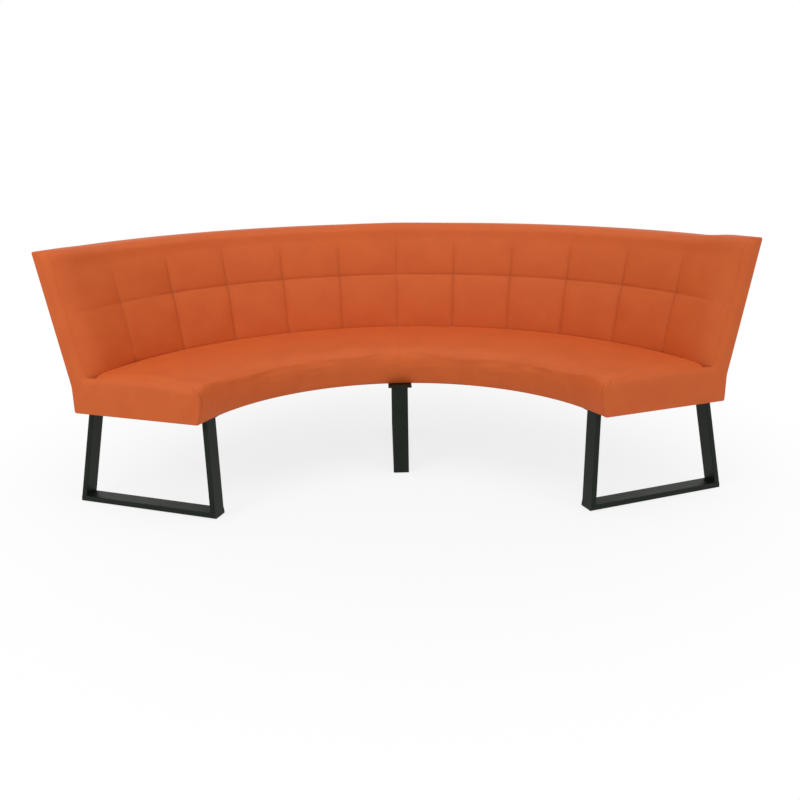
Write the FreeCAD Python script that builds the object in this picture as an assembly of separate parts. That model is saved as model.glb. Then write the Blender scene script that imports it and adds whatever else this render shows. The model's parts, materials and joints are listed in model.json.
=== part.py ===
import FreeCAD, Part
import math
import os

os.makedirs("parts", exist_ok=True)

# A curved upholstered bench on three sled frames. Millimetres and degrees.
# Every section is drawn as (radius, height) about the upright axis at the centre of the arc.
# The origin is on the floor, under the middle of the bench's outline.

# Arc of the bench
half_angle = 70.0
front_radius = 730.0
rear_radius = 1230.0
columns_per_half = 6

# Upright sizes of seat and back: the rails stand on the underside, the seat is built up on them
seat_underside = 345.0
rail_height = 60.0
seat_build_up = 83.0
back_rise = 417.0
knee_above_rail = 35.0

# Stitched face of the back: where it meets the seat, its lean, and its seams from below and above
back_foot_depth = 80.0
back_top_depth = 81.42
back_rake = 13.3
pad_tuck = 42.0
lower_cell_height = 212.0
fade_drop = 43.0
pad_thickness = 26.0
cell_crown = 14.0
seam_crown = 3.0
fade_crown = 8.0
end_roll_back = 20.0

# Rolled top of the back
roll_middle_drop = 3.0
roll_middle_setback = 12.0
roll_top_rise = 16.0
roll_top_setback = 40.0
roll_sag = 14.0

# Seat cushion
seat_skin = 18.0
nose_bulge = 18.0
nose_middle_share = 0.75
nose_drop = 33.0
nose_corner_drop = 12.0
nose_corner_setback = 6.0
nose_top_drop = 2.0
nose_top_setback = 30.0
seat_crown = 8.0
end_draw_in = 5.0
end_drop = 12.0

# Soft edge towards the ends: distance of each section from the end plane
edge_insets = (62.0, 38.0, 22.0)
edge_roll_shares = (0.0, 0.25, 0.6)
edge_puff_shares = (0.9, 0.65, 0.35)

# One quilted cell across its width
cell_place_shares = (0.0, 0.12, 0.5, 0.88)
cell_puff_shares = (0.0, 0.7, 1.0, 0.7)

# Wooden frame
board_thickness = 18.0
batten_height = 30.0
batten_setback = 20.0
lining_thickness = 4.0
rear_lining_thickness = 3.0
rear_cover_thickness = 2.0
back_foam_thickness = 16.0
rib_corner_radius = 25.0
rib_step_share = 1.0 / 3.0
inner_rib_steps = (-2, -1, 0, 1, 2)
cheek_above_rail = 15.0
cheek_corner_radius = 20.0

# Webbing and dust cloth
strap_width = 50.0
strap_thickness = 2.0
straps_per_bay = 4
dust_cloth_thickness = 1.5
dust_cloth_edge = 4.0

# End panels
end_panel_thickness = 12.0
end_panel_round = 4.0

# Sled frames
foot_front_reach = 32.0
foot_rear_reach = 27.0
splay_angle = 6.5
middle_sled_advance = 45.0
tube_width = 60.0
tube_depth = 20.0
tube_wall = 2.0
tube_corner = 2.5
cap_depth = 6.0
glide_height = 4.0
glide_radius = 11.0
glide_stem_radius = 3.9
glide_stem_height = 8.0
glide_from_end = 40.0
end_sled_inset = 8.0
end_sled_top_inset = 64.0
plate_thickness = 5.0
plate_length = 70.0
plate_width = 90.0
plate_margin = 5.0
leg_board_width = 130.0

# Bolts, tee nuts and screws
bolt_radius = 4.0
bolt_length = 25.0
bolt_head_radius = 7.5
bolt_head_height = 5.3
bolt_spread = 35.0
bolt_from_leg = 48.0
tee_nut_radius = 4.9
tee_nut_flange_radius = 10.0
tee_nut_flange = 1.5
tee_nut_depth = 13.0
screw_radius = 2.2
screw_head_radius = 4.4
screw_head_height = 3.0
screw_length = 50.0
fixing_sides = 6
glide_sides = 12

# Clearances and cuts. Curved boards, rails and foam are drawn in equal flats, so they keep a wider
# gap to what is drawn in other flats or truly round.
flats_per_column = 3
flat_slack = 1.0
inside_runs = 3
gap = 0.3
hole_clearance = 0.1
overrun = 20.0

# Worked out from the sizes above
column_angle = half_angle / columns_per_half
rail_top = seat_underside + rail_height
seat_height = rail_top + seat_build_up
knee_height = rail_top + knee_above_rail
cheek_height = rail_top + cheek_above_rail
back_top_height = seat_height + back_rise
pad_bottom_height = seat_height - pad_tuck
middle_seam_height = seat_height + lower_cell_height
fade_height = back_top_height - fade_drop
junction_radius = rear_radius - back_foot_depth
batten_outer_radius = junction_radius - batten_setback
rake_slope = math.tan(math.radians(back_rake))
back_top_radius = junction_radius + rake_slope * back_rise + back_top_depth
outer_slope = (back_top_radius - rear_radius) / (back_top_height - knee_height)
splay_slope = math.tan(math.radians(splay_angle))
foot_front_radius = front_radius - foot_front_reach
foot_rear_radius = rear_radius + foot_rear_reach
end_inset = end_panel_thickness + gap
cheek_inset = end_inset + gap
frame_inset = cheek_inset + board_thickness + gap
foam_offset = pad_thickness + flat_slack
lining_offset = foam_offset + back_foam_thickness + gap
rib_offset = lining_offset + lining_thickness + gap
skin_offset = rear_cover_thickness + gap
rib_rear_offset = skin_offset + rear_lining_thickness + flat_slack
pad_top_inside = back_top_height - rear_cover_thickness
frame_top = pad_top_inside - gap
rib_top = frame_top - board_thickness
front_rail_radius = front_radius + seat_skin + flat_slack
rear_rail_radius = rear_radius - rib_rear_offset
seat_inside = seat_height - seat_skin
strap_top = rail_top + strap_thickness
leg_bottom = glide_height + tube_depth
plate_bottom = seat_underside - plate_thickness
board_top = seat_underside + board_thickness
far = 2 * (back_top_radius + overrun)
nose_radius = front_radius - nose_bulge
rib_angle = half_angle * rib_step_share


def vector(x, y, z):
    return FreeCAD.Vector(x, y, z)


def spot(angle, radius, height, inset=0.0):
    """A point of a section: at an angle from the middle of the arc, or on a plane that lies
    parallel to that angle's plane, an inset nearer to the middle."""
    turn = math.radians(angle)
    side = 1 if angle >= 0 else -1
    along = math.sqrt(radius ** 2 - inset ** 2)
    x = along * math.sin(turn) - side * inset * math.cos(turn)
    y = along * math.cos(turn) + side * inset * math.sin(turn)
    return vector(x, y, height)


def back_face(height):
    return junction_radius + rake_slope * (height - seat_height)


def outer_face(height):
    return rear_radius + outer_slope * max(height - knee_height, 0)


def edge(points):
    if len(points) == 2:
        return Part.LineSegment(points[0], points[1]).toShape()
    return Part.Arc(points[0], points[1], points[2]).toShape()


def section_wire(pieces, angle, inset=0.0):
    edges = []
    for piece in pieces:
        edges.append(edge([spot(angle, radius, height, inset) for radius, height in piece]))
    return Part.Wire(edges)


def solid_loft(wires):
    solid = Part.makeLoft(wires, True, True)
    if solid.Volume < 0:
        solid.reverse()
    return solid


def sector(inset, side):
    """The upright prism between the two end planes, each moved in by an inset. A side of -1 or 1
    keeps one half."""
    turn = math.radians(half_angle)
    apex = vector(0, inset / math.sin(turn), 0)
    reach = vector(far * math.sin(turn), far * math.cos(turn), 0)
    right = [apex + reach, vector(reach.x, far, 0), vector(0, far, 0)]
    left = [vector(-point.x, point.y, 0) for point in reversed(right)]
    if side > 0:
        corners = [apex] + right
    elif side < 0:
        corners = [apex] + left
    else:
        corners = [apex] + right[:-1] + left[1:]
    base = Part.Face(Part.makePolygon(corners + [apex]))
    return base.extrude(vector(0, 0, back_top_height + overrun))


def ring_piece(outline, inset, side=0):
    """A closed outline of (radius, height) points swept round the arc, cut off at both ends."""
    points = [vector(radius, 0, height) for radius, height in outline]
    face = Part.Face(Part.makePolygon(points + [points[0]]))
    ring = face.revolve(vector(0, 0, 0), vector(0, 0, 1), 180)
    return ring.common(sector(inset, side)).Solids[0]


def plank(pieces, angle, middle_inset, thickness):
    """A flat board whose outline is true to the arc in its middle plane, at an inset."""
    side = 1 if angle >= 0 else -1
    turn = math.radians(angle)
    inward = vector(-side * math.cos(turn), side * math.sin(turn), 0)
    solid = Part.Face(section_wire(pieces, angle, middle_inset)).extrude(inward * thickness)
    solid.translate(inward * (-thickness / 2))
    return solid


def stations(side):
    """Where sections stand on one half: (angle, inset, puff share, roll share), from the middle out."""
    rows = []
    for column in range(columns_per_half):
        for place, puff in zip(cell_place_shares, cell_puff_shares):
            if column < columns_per_half - 1 or place <= 0.5:
                rows.append((side * column_angle * (column + place), 0, puff, 0))
    for inset, roll, puff in zip(edge_insets, edge_roll_shares, edge_puff_shares):
        rows.append((side * half_angle, inset, puff, roll))
    return rows


def bent_board(outline, inset):
    """A closed outline of (radius, height) points carried round the whole arc in equal flats."""
    sides = [(outline[index], outline[(index + 1) % len(outline)]) for index in range(len(outline))]
    steps = flats_per_column * columns_per_half
    wires = [section_wire(sides, -half_angle, inset)]
    for index in range(1 - steps, steps):
        wires.append(section_wire(sides, half_angle * index / steps))
    wires.append(section_wire(sides, half_angle, inset))
    return solid_loft(wires)


def many_sided(sides, profile, start, direction):
    """A pin drawn with flat sides. The profile holds (distance along the pin, radius)."""
    level = vector(direction.y, -direction.x, 0) if direction.z == 0 else vector(1, 0, 0)
    other = direction.cross(level)
    rings = []
    for distance, radius in profile:
        points = []
        for index in range(sides):
            turn = 2 * math.pi * (index + 0.5) / sides
            points.append(start + direction * distance + level * (radius * math.cos(turn))
                          + other * (radius * math.sin(turn)))
        rings.append(Part.makePolygon(points + points[:1]))
    return solid_loft(rings)


def pin(radius, length, start, sides=fixing_sides):
    return many_sided(sides, [(0, radius), (length, radius)], start, vector(0, 0, 1))


def save(name, solids):
    """One node: a single solid, or several alike, moved so that the origin is under the middle."""
    group = solids if isinstance(solids, list) else [solids]
    placed = []
    for solid in group:
        copy = solid.copy()
        copy.translate(vector(0, -middle_depth, 0))
        placed.append(copy)
    shape = placed[0] if len(placed) == 1 else Part.makeCompound(placed)
    shape.exportStep("parts/" + name + ".step")


# Seat cushion: a skin of cover and wadding that wraps the foam from the front rail to the back
def seat_section(roll):
    draw = end_draw_in * roll
    drop = end_drop * roll
    nose = nose_radius + draw
    front = (front_radius + draw, seat_underside)
    low = (nose, seat_height - nose_drop - drop)
    front_middle = (front[0] - nose_middle_share * nose_bulge, (front[1] + low[1] + drop) / 2)
    corner = (nose + nose_corner_setback, seat_height - nose_corner_drop - drop)
    top = (nose + nose_top_setback, seat_height - nose_top_drop - drop)
    rear_top = (back_face(seat_height) - gap, seat_height - drop)
    crown = ((top[0] + rear_top[0]) / 2, (top[1] + rear_top[1]) / 2 + seat_crown)
    rear_low = (back_face(seat_inside) - gap, seat_inside)
    inner_front = front_radius + seat_skin
    run = (rear_low[0] - inner_front) / inside_runs
    inside = [(rear_low[0] - run * index, seat_inside) for index in range(inside_runs + 1)]
    inner_foot = (inner_front, seat_underside)
    return [(front, front_middle, low), (low, corner, top), (top, crown, rear_top), (rear_top, rear_low),
            *zip(inside, inside[1:]), (inside[-1], inner_foot), (inner_foot, front)]


def seat_cover(side):
    wires = []
    steps = 2 * columns_per_half
    for index in range(steps):
        wires.append(section_wire(seat_section(0), side * half_angle * index / steps))
    for inset, roll in zip(edge_insets, edge_roll_shares):
        wires.append(section_wire(seat_section(roll), side * half_angle, inset))
    wires.append(section_wire(seat_section(1), side * half_angle, end_inset))
    return solid_loft(wires)


# Quilted back: the sewn face, its cells and the plain roll over the top
def pad_section(puff, roll):
    back = end_roll_back * roll
    crown = seam_crown + (cell_crown - seam_crown) * puff
    base = (back_face(pad_bottom_height) + back, pad_bottom_height)
    seat_line = (back_face(seat_height) + back, seat_height)
    seam = (back_face(middle_seam_height) + back, middle_seam_height)
    fade = (back_face(fade_height) - fade_crown + back, fade_height)
    low_height = (seat_height + middle_seam_height) / 2
    high_height = (middle_seam_height + fade_height) / 2
    low_middle = (back_face(low_height) - crown + back, low_height)
    high_middle = (back_face(high_height) - crown + back, high_height)
    sag = roll_sag * (1 - roll)
    roll_middle = (fade[0] + roll_middle_setback, back_top_height - roll_middle_drop - sag / 2)
    roll_top = (fade[0] + roll_top_setback, back_top_height + roll_top_rise - sag)
    rear_top = (back_top_radius, back_top_height)
    rear_low = (outer_face(pad_top_inside), pad_top_inside)
    inner_top = (back_face(pad_top_inside) + pad_thickness, pad_top_inside)
    inner_base = (back_face(pad_bottom_height) + pad_thickness, pad_bottom_height)
    return [(base, seat_line), (seat_line, low_middle, seam), (seam, high_middle, fade),
            (fade, roll_middle, roll_top), (roll_top, rear_top), (rear_top, rear_low),
            (rear_low, inner_top), (inner_top, inner_base), (inner_base, base)]


def quilted_pad(side):
    wires = []
    for angle, inset, puff, roll in stations(side):
        wires.append(section_wire(pad_section(puff, roll), angle, inset))
    wires.append(section_wire(pad_section(0, 1), side * half_angle, end_inset))
    return solid_loft(wires)


# L-shaped end panel: the outline of seat and back in one piece, its outer edge rounded
def unit(first, last):
    run = last[0] - first[0]
    rise = last[1] - first[1]
    length = math.hypot(run, rise)
    return (run / length, rise / length)


def drawn_in(pieces, distance):
    """The same outline a distance further in. It runs clockwise, so inside lies to its right."""
    corners = []
    for index, piece in enumerate(pieces):
        before = unit(*pieces[index - 1][-2:])
        after = unit(*piece[:2])
        reach = distance / (1 + before[0] * after[0] + before[1] * after[1])
        corners.append((piece[0][0] + reach * (before[1] + after[1]),
                        piece[0][1] - reach * (before[0] + after[0])))
    inner = []
    for index, piece in enumerate(pieces):
        first = corners[index]
        last = corners[(index + 1) % len(corners)]
        if len(piece) == 2:
            inner.append((first, last))
        else:
            along = unit(piece[0], piece[2])
            bend = (piece[1][0] + distance * along[1], piece[1][1] - distance * along[0])
            inner.append((first, bend, last))
    return inner


def end_panel(side):
    seat = seat_section(1)
    back = pad_section(0, 1)
    crevice = (back[0][1][0], seat[2][2][1])
    rear_top = (back_top_radius, back_top_height)
    knee = (rear_radius, knee_height)
    foot = (rear_radius, seat_underside)
    outline = [seat[0], seat[1], seat[2], (seat[2][2], crevice), (crevice, back[0][1]), back[1], back[2],
               back[3], back[4], (rear_top, knee), (knee, foot), (foot, seat[0][0])]
    wires = []
    for turn in (0, 45, 90):
        bend = math.radians(turn)
        depth = end_panel_round * (1 - math.cos(bend))
        shrink = end_panel_round * (1 - math.sin(bend))
        wires.append(section_wire(drawn_in(outline, shrink), side * half_angle, depth))
    wires.append(section_wire(outline, side * half_angle, end_panel_thickness))
    return solid_loft(wires)


# Wooden frame
def rib_outline(front, bottom, rear_bottom, step, seat_top, top, corner):
    """The L of a rib: seat part, then the upright between the two linings."""
    front_edge = back_face(seat_top) + rib_offset
    bend_low = (front_edge - corner, seat_top)
    bend_high = (back_face(seat_top + corner) + rib_offset, seat_top + corner)
    bend_share = 1 - math.sqrt(0.5)
    bend_middle = (front_edge - corner * bend_share, seat_top + corner * bend_share)
    rear = rear_radius - rib_rear_offset
    pieces = [((front, bottom), (rear_bottom, bottom))]
    if rear_bottom < rear:
        pieces.append(((rear_bottom, bottom), (rear_bottom, step)))
        pieces.append(((rear_bottom, step), (rear, step)))
        pieces.append(((rear, step), (rear, knee_height)))
    else:
        pieces.append(((rear, bottom), (rear, knee_height)))
    high_rear = (outer_face(top) - rib_rear_offset, top)
    high_front = (back_face(top) + rib_offset, top)
    pieces.append(((rear, knee_height), high_rear))
    pieces.append((high_rear, high_front))
    pieces.append((high_front, bend_high))
    pieces.append((bend_high, bend_middle, bend_low))
    pieces.append((bend_low, (front, seat_top)))
    pieces.append(((front, seat_top), (front, bottom)))
    return pieces


def batten_outline(room):
    inner = batten_outer_radius - board_thickness - room
    outer = batten_outer_radius + room
    low = rail_top - batten_height - room
    high = rail_top + (overrun if room else 0)
    return [(inner, low), (outer, low), (outer, high), (inner, high)]


def rail_screws(angle):
    """The two screws that hold a rib: one through the front rail, one through the rear rail."""
    turn = math.radians(angle)
    outward = vector(math.sin(turn), math.cos(turn), 0)
    height = (board_top + rail_top - batten_height / 2) / 2
    front = spot(angle, front_rail_radius, height)
    rear = spot(angle, rear_rail_radius, height)
    return [(front, outward), (rear, outward * -1)]


def screw(start, direction, room=0.0):
    profile = [(0, screw_head_radius + room), (screw_head_height, screw_radius + room),
               (screw_length + room, screw_radius + room)]
    if room:
        profile.insert(0, (-overrun, screw_head_radius + room))
    return many_sided(fixing_sides, profile, start, direction)


def rib(step):
    angle = rib_angle * step
    bottom = board_top if step == 0 else seat_underside
    front = front_rail_radius + board_thickness + gap
    rear = rear_rail_radius - board_thickness - gap
    outline = rib_outline(front, bottom, rear, rail_top + gap, rail_top, rib_top, rib_corner_radius)
    board = plank(outline, angle, 0, board_thickness)
    board = board.cut(bent_board(batten_outline(gap), 0))
    for start, direction in rail_screws(angle):
        board = board.cut(screw(start, direction, hole_clearance))
    return board


def cheek(side):
    rear = rear_radius - rib_rear_offset
    pieces = rib_outline(front_rail_radius, seat_underside, rear, rail_top, cheek_height, frame_top,
                         cheek_corner_radius)
    corner_share = 1 - math.sqrt(0.5)
    along = (front_rail_radius + cheek_corner_radius, cheek_height)
    down = (front_rail_radius, cheek_height - cheek_corner_radius)
    bend = (front_rail_radius + cheek_corner_radius * corner_share,
            cheek_height - cheek_corner_radius * corner_share)
    top_line = pieces[-2]
    pieces[-2:] = [(top_line[0], along), (along, bend, down), (down, (front_rail_radius, seat_underside))]
    return plank(pieces, side * half_angle, cheek_inset + board_thickness / 2, board_thickness)


def drilled_rail(outline, place):
    rail = bent_board(outline, frame_inset)
    for step in inner_rib_steps:
        start, direction = rail_screws(rib_angle * step)[place]
        rail = rail.cut(screw(start, direction, hole_clearance))
    return rail


def lining(offset, thickness):
    """A layer that leans with the stitched face, from the foot of the pad to the top of the frame."""
    low = pad_bottom_height
    high = frame_top
    return [(back_face(low) + offset, low), (back_face(low) + offset + thickness, low),
            (back_face(high) + offset + thickness, high), (back_face(high) + offset, high)]


def outer_skin(offset, thickness, high):
    """A sheet that follows the outer face: upright below the knee, leaning above it."""
    points = [(seat_underside, offset), (knee_height, offset), (high, offset)]
    outline = [(outer_face(height) - shift, height) for height, shift in points]
    back = [(outer_face(height) - shift - thickness, height) for height, shift in reversed(points)]
    return outline + back


# Sled frames: flat tube, the legs splayed, the end frames also leaning outwards
def sled_spot(place, radius, across, height):
    """Across runs from the frame's outer side, which for an end frame leans in as it rises."""
    if place == 0:
        return vector(across - tube_width / 2, radius, height)
    rise_share = height / seat_underside
    inset = end_sled_inset + (end_sled_top_inset - end_sled_inset) * rise_share + across
    turn = math.radians(place * half_angle)
    x = radius * math.sin(turn) - place * inset * math.cos(turn)
    y = radius * math.cos(turn) + place * inset * math.sin(turn)
    return vector(x, y, height)


def advance(place):
    return 0 if place else middle_sled_advance


def leg_face(place, end, height):
    """Radius of a leg's outer face: the foot, drawn in by the splay. The middle frame stands
    further forward."""
    if end == "front":
        return foot_front_radius - advance(place) + splay_slope * height
    return foot_rear_radius - advance(place) - splay_slope * height


def tube_wire(point_at, wide, deep, corner):
    """A rectangle whose corners are rounded in two flats each, point_at taking (across, depth)."""
    share = 1 - math.sqrt(0.5)
    marks = ((0, 0, 1, 1), (wide, 0, -1, 1), (wide, deep, -1, -1), (0, deep, 1, -1))
    points = []
    for index, (x, y, right, up) in enumerate(marks):
        upright = (x, y + up * corner)
        level = (x + right * corner, y)
        bend = (x + right * corner * share, y + up * corner * share)
        points += [upright, bend, level] if index % 2 == 0 else [level, bend, upright]
    return Part.makePolygon([point_at(*mark) for mark in points + points[:1]])


def bore_wire(point_at, wall):
    """The inside of the tube, or of what fits in it, a wall in from the outside."""
    corners = [(wall, wall), (tube_width - wall, wall), (tube_width - wall, tube_depth - wall),
               (wall, tube_depth - wall)]
    return Part.makePolygon([point_at(*mark) for mark in corners + corners[:1]])


def hollow(point_sets):
    """A tube between two sections: outside less inside."""
    outside = solid_loft([tube_wire(point, tube_width, tube_depth, tube_corner) for point in point_sets])
    return outside.cut(solid_loft([bore_wire(point, tube_wall) for point in point_sets]))


def leg(place, end):
    way = 1 if end == "front" else -1

    def at_height(height):
        return lambda across, depth: sled_spot(place, leg_face(place, end, height) + way * depth, across, height)

    return hollow([at_height(leg_bottom), at_height(plate_bottom)])


def bar_end(place, end, back):
    """A section of the floor bar, parallel to its slanting end and set back from it."""
    way = 1 if end == "front" else -1

    def point(across, depth):
        height = glide_height + depth
        return sled_bar_spot(place, leg_face(place, end, height) + way * back, across, height)

    return point


def sled_bar_spot(place, radius, across, height):
    """The bar lies flat, upright sides, so it takes the frame's place at the foot of the legs."""
    lower = sled_spot(place, radius, across, leg_bottom)
    return vector(lower.x, lower.y, height)


def glide_radii(place):
    front = foot_front_radius - advance(place) + glide_from_end
    return (front, foot_rear_radius - advance(place) - glide_from_end)


def floor_bar(place):
    bar = hollow([bar_end(place, "front", 0), bar_end(place, "rear", 0)])
    for radius in glide_radii(place):
        centre = sled_bar_spot(place, radius, tube_width / 2, 0)
        bar = bar.cut(pin(glide_stem_radius + hole_clearance, glide_height + 2 * tube_wall, centre))
    return bar


def end_cap(place, end):
    """A plug pressed into the bar's end and flush with it."""
    sections = [bar_end(place, end, 0), bar_end(place, end, cap_depth)]
    return solid_loft([bore_wire(point, tube_wall + hole_clearance) for point in sections])


def glide(place, radius):
    centre = sled_bar_spot(place, radius, tube_width / 2, 0)
    disc = pin(glide_radius, glide_height, centre, glide_sides)
    return disc.fuse(pin(glide_stem_radius, glide_height + glide_stem_height, centre)).removeSplitter()


def plate_box(place, low, high, wide, radii):
    """A flat block across a frame, its middle over the top of the leg, between two radii."""
    middle = tube_width / 2
    corners = [(radii[0], middle - wide / 2), (radii[1], middle - wide / 2),
               (radii[1], middle + wide / 2), (radii[0], middle + wide / 2)]
    points = []
    for radius, across in corners:
        level = sled_spot(place, radius, across, seat_underside)
        points.append(vector(level.x, level.y, low))
    return Part.Face(Part.makePolygon(points + points[:1])).extrude(vector(0, 0, high - low))


def reach_back(place, end):
    """How much longer a plate is, so that its bolts meet the leg board behind the front rail."""
    return advance(place) if end == "front" else 0


def bolt_places(place, end):
    way = 1 if end == "front" else -1
    radius = leg_face(place, end, plate_bottom) + way * (bolt_from_leg + reach_back(place, end))
    places = []
    for shift in (-bolt_spread, bolt_spread):
        level = sled_spot(place, radius, tube_width / 2 + shift, seat_underside)
        places.append(vector(level.x, level.y, 0))
    return places


def top_plate(place, end):
    way = 1 if end == "front" else -1
    start = leg_face(place, end, plate_bottom) - way * plate_margin
    radii = (start, start + way * (plate_length + reach_back(place, end)))
    plate = plate_box(place, plate_bottom, seat_underside, plate_width, radii)
    for centre in bolt_places(place, end):
        hole_start = centre + vector(0, 0, plate_bottom - overrun)
        plate = plate.cut(pin(bolt_radius + gap, plate_thickness + 2 * overrun, hole_start))
    return plate


def leg_board(place):
    radii = (front_rail_radius + board_thickness + gap, rear_rail_radius - board_thickness - flat_slack)
    slab = plate_box(place, seat_underside, board_top, leg_board_width, (0, far))
    ring = ring_piece([(radii[0], seat_underside), (radii[1], seat_underside), (radii[1], board_top),
                       (radii[0], board_top)], frame_inset)
    slab = slab.common(ring).Solids[0]
    for end in ("front", "rear"):
        for centre in bolt_places(place, end):
            hole_start = centre + vector(0, 0, seat_underside - overrun)
            hole = pin(tee_nut_radius + hole_clearance, board_thickness + 2 * overrun, hole_start)
            slab = slab.cut(hole)
    return slab


def bolt(centre):
    """A hexagon head under the plate and its shank, up through plate, board and tee nut."""
    start = centre + vector(0, 0, plate_bottom - bolt_head_height)
    head = pin(bolt_head_radius, bolt_head_height, start)
    return head.fuse(pin(bolt_radius, bolt_head_height + bolt_length, start)).removeSplitter()


def tee_nut(centre):
    barrel_start = centre + vector(0, 0, board_top - tee_nut_depth)
    barrel = pin(tee_nut_radius, tee_nut_depth + tee_nut_flange, barrel_start)
    flange = pin(tee_nut_flange_radius, tee_nut_flange, centre + vector(0, 0, board_top))
    bore_start = centre + vector(0, 0, seat_underside)
    bore = pin(bolt_radius + hole_clearance, board_thickness + 2 * overrun, bore_start)
    return barrel.fuse(flange).removeSplitter().cut(bore)


def strap(angle):
    turn = math.radians(angle)
    along = vector(math.sin(turn), math.cos(turn), 0)
    across = vector(math.cos(turn), -math.sin(turn), 0)
    inner = front_rail_radius + gap
    outer = batten_outer_radius - gap
    start = along * inner - across * (strap_width / 2) + vector(0, 0, rail_top)
    end = start + along * (outer - inner)
    corners = [start, end, end + across * strap_width, start + across * strap_width]
    return Part.Face(Part.makePolygon(corners + corners[:1])).extrude(vector(0, 0, strap_thickness))


def dust_sheet(side):
    """The cloth between the middle board and an end board, stapled under the rails."""
    inner = front_rail_radius + dust_cloth_edge
    outer = rear_rail_radius - dust_cloth_edge
    low = seat_underside - dust_cloth_thickness
    board_side = end_sled_top_inset + (tube_width + leg_board_width) / 2 + dust_cloth_edge
    sheet = ring_piece([(inner, low), (outer, low), (outer, seat_underside), (inner, seat_underside)],
                       board_side, side)
    middle = leg_board_width / 2 + dust_cloth_edge
    block = Part.makeBox(2 * middle, far, 2 * seat_underside, vector(-middle, 0, 0))
    return sheet.cut(block).Solids[0]


side_names = {-1: "left", 0: "middle", 1: "right"}

# The end panel's nose is the foremost point and the back's top edge the rearmost
middle_depth = (back_top_radius + end_panel(1).BoundBox.YMin) / 2

for side in (-1, 1):
    name = side_names[side]
    save("seat_cover_" + name, seat_cover(side))
    save("back_quilt_" + name, quilted_pad(side))
    save("end_panel_" + name, end_panel(side))
    save("end_cheek_" + name, cheek(side))

save("rear_cover", ring_piece(outer_skin(0, rear_cover_thickness, pad_top_inside - gap), end_inset))
seat_foam = [(front_rail_radius, strap_top + gap), (batten_outer_radius, strap_top + gap),
             (batten_outer_radius, seat_inside - gap), (front_rail_radius, seat_inside - gap)]
save("seat_foam", ring_piece(seat_foam, frame_inset))
save("back_foam", bent_board(lining(foam_offset, back_foam_thickness), cheek_inset))
save("back_lining", bent_board(lining(lining_offset, lining_thickness), cheek_inset))
save("rear_lining", bent_board(outer_skin(skin_offset, rear_lining_thickness, frame_top), cheek_inset))

front_rail = [(front_rail_radius, seat_underside), (front_rail_radius + board_thickness, seat_underside),
              (front_rail_radius + board_thickness, rail_top), (front_rail_radius, rail_top)]
rear_rail = [(rear_rail_radius - board_thickness, seat_underside), (rear_rail_radius, seat_underside),
             (rear_rail_radius, rail_top), (rear_rail_radius - board_thickness, rail_top)]
save("seat_front_rail", drilled_rail(front_rail, 0))
save("seat_rear_rail", drilled_rail(rear_rail, 1))
save("strap_batten", bent_board(batten_outline(0), frame_inset))

top_front = back_face(frame_top) + rib_offset
top_rear = outer_face(rib_top) - rib_rear_offset
top_rail = [(top_front, rib_top), (top_rear, rib_top), (top_rear, frame_top), (top_front, frame_top)]
save("back_top_rail", bent_board(top_rail, frame_inset))

for number, step in enumerate(inner_rib_steps, 1):
    save("plywood_rib_" + str(number), rib(step))

strap_angle = rib_angle / straps_per_bay
strap_total = round(2 * half_angle / strap_angle)
strap_angles = [strap_angle * (index + 0.5) - half_angle for index in range(1, strap_total - 1)]
save("webbing_straps", [strap(angle) for angle in strap_angles])
save("dust_cloth", [dust_sheet(-1), dust_sheet(1)])

caps = []
glides = []
bolts = []
tee_nuts = []
for place, name in side_names.items():
    for end in ("front", "rear"):
        save(name + "_" + end + "_leg", leg(place, end))
        save(name + "_" + end + "_plate", top_plate(place, end))
        caps.append(end_cap(place, end))
        for centre in bolt_places(place, end):
            bolts.append(bolt(centre))
            tee_nuts.append(tee_nut(centre))
    for radius in glide_radii(place):
        glides.append(glide(place, radius))
    save(name + "_floor_bar", floor_bar(place))
    save(name + "_leg_board", leg_board(place))

save("floor_bar_caps", caps)
save("floor_glides", glides)
save("leg_bolts", bolts)
save("tee_nuts", tee_nuts)

screws = []
for step in inner_rib_steps:
    for start, direction in rail_screws(rib_angle * step):
        screws.append(screw(start, direction))
save("rail_screws", screws)
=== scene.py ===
import json
import math
import bmesh
import bpy
import numpy as np
from mathutils import Matrix, Vector


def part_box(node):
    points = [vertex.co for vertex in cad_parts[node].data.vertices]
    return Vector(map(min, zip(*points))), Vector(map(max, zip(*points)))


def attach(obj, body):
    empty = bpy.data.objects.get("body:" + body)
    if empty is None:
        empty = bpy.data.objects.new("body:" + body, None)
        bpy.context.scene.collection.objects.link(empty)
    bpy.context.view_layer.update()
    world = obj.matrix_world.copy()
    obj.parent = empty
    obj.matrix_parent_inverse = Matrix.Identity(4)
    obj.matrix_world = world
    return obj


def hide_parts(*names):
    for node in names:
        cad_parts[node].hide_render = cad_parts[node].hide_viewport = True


# A curved bench for a dining corner: quilted back, crowned seat, plain padded ends and three sled
# frames of flat steel tube. Metres. A section is (radius, height) about the upright axis of the arc.
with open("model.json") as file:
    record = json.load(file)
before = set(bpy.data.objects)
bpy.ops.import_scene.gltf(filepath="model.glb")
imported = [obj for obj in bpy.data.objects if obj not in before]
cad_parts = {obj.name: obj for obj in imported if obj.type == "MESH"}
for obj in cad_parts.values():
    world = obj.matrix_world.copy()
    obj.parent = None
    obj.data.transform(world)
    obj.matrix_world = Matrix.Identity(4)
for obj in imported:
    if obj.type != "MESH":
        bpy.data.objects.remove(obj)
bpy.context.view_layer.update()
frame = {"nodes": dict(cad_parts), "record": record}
nodes = frame["nodes"]
print("frame loaded:", len(nodes), "nodes")

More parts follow.
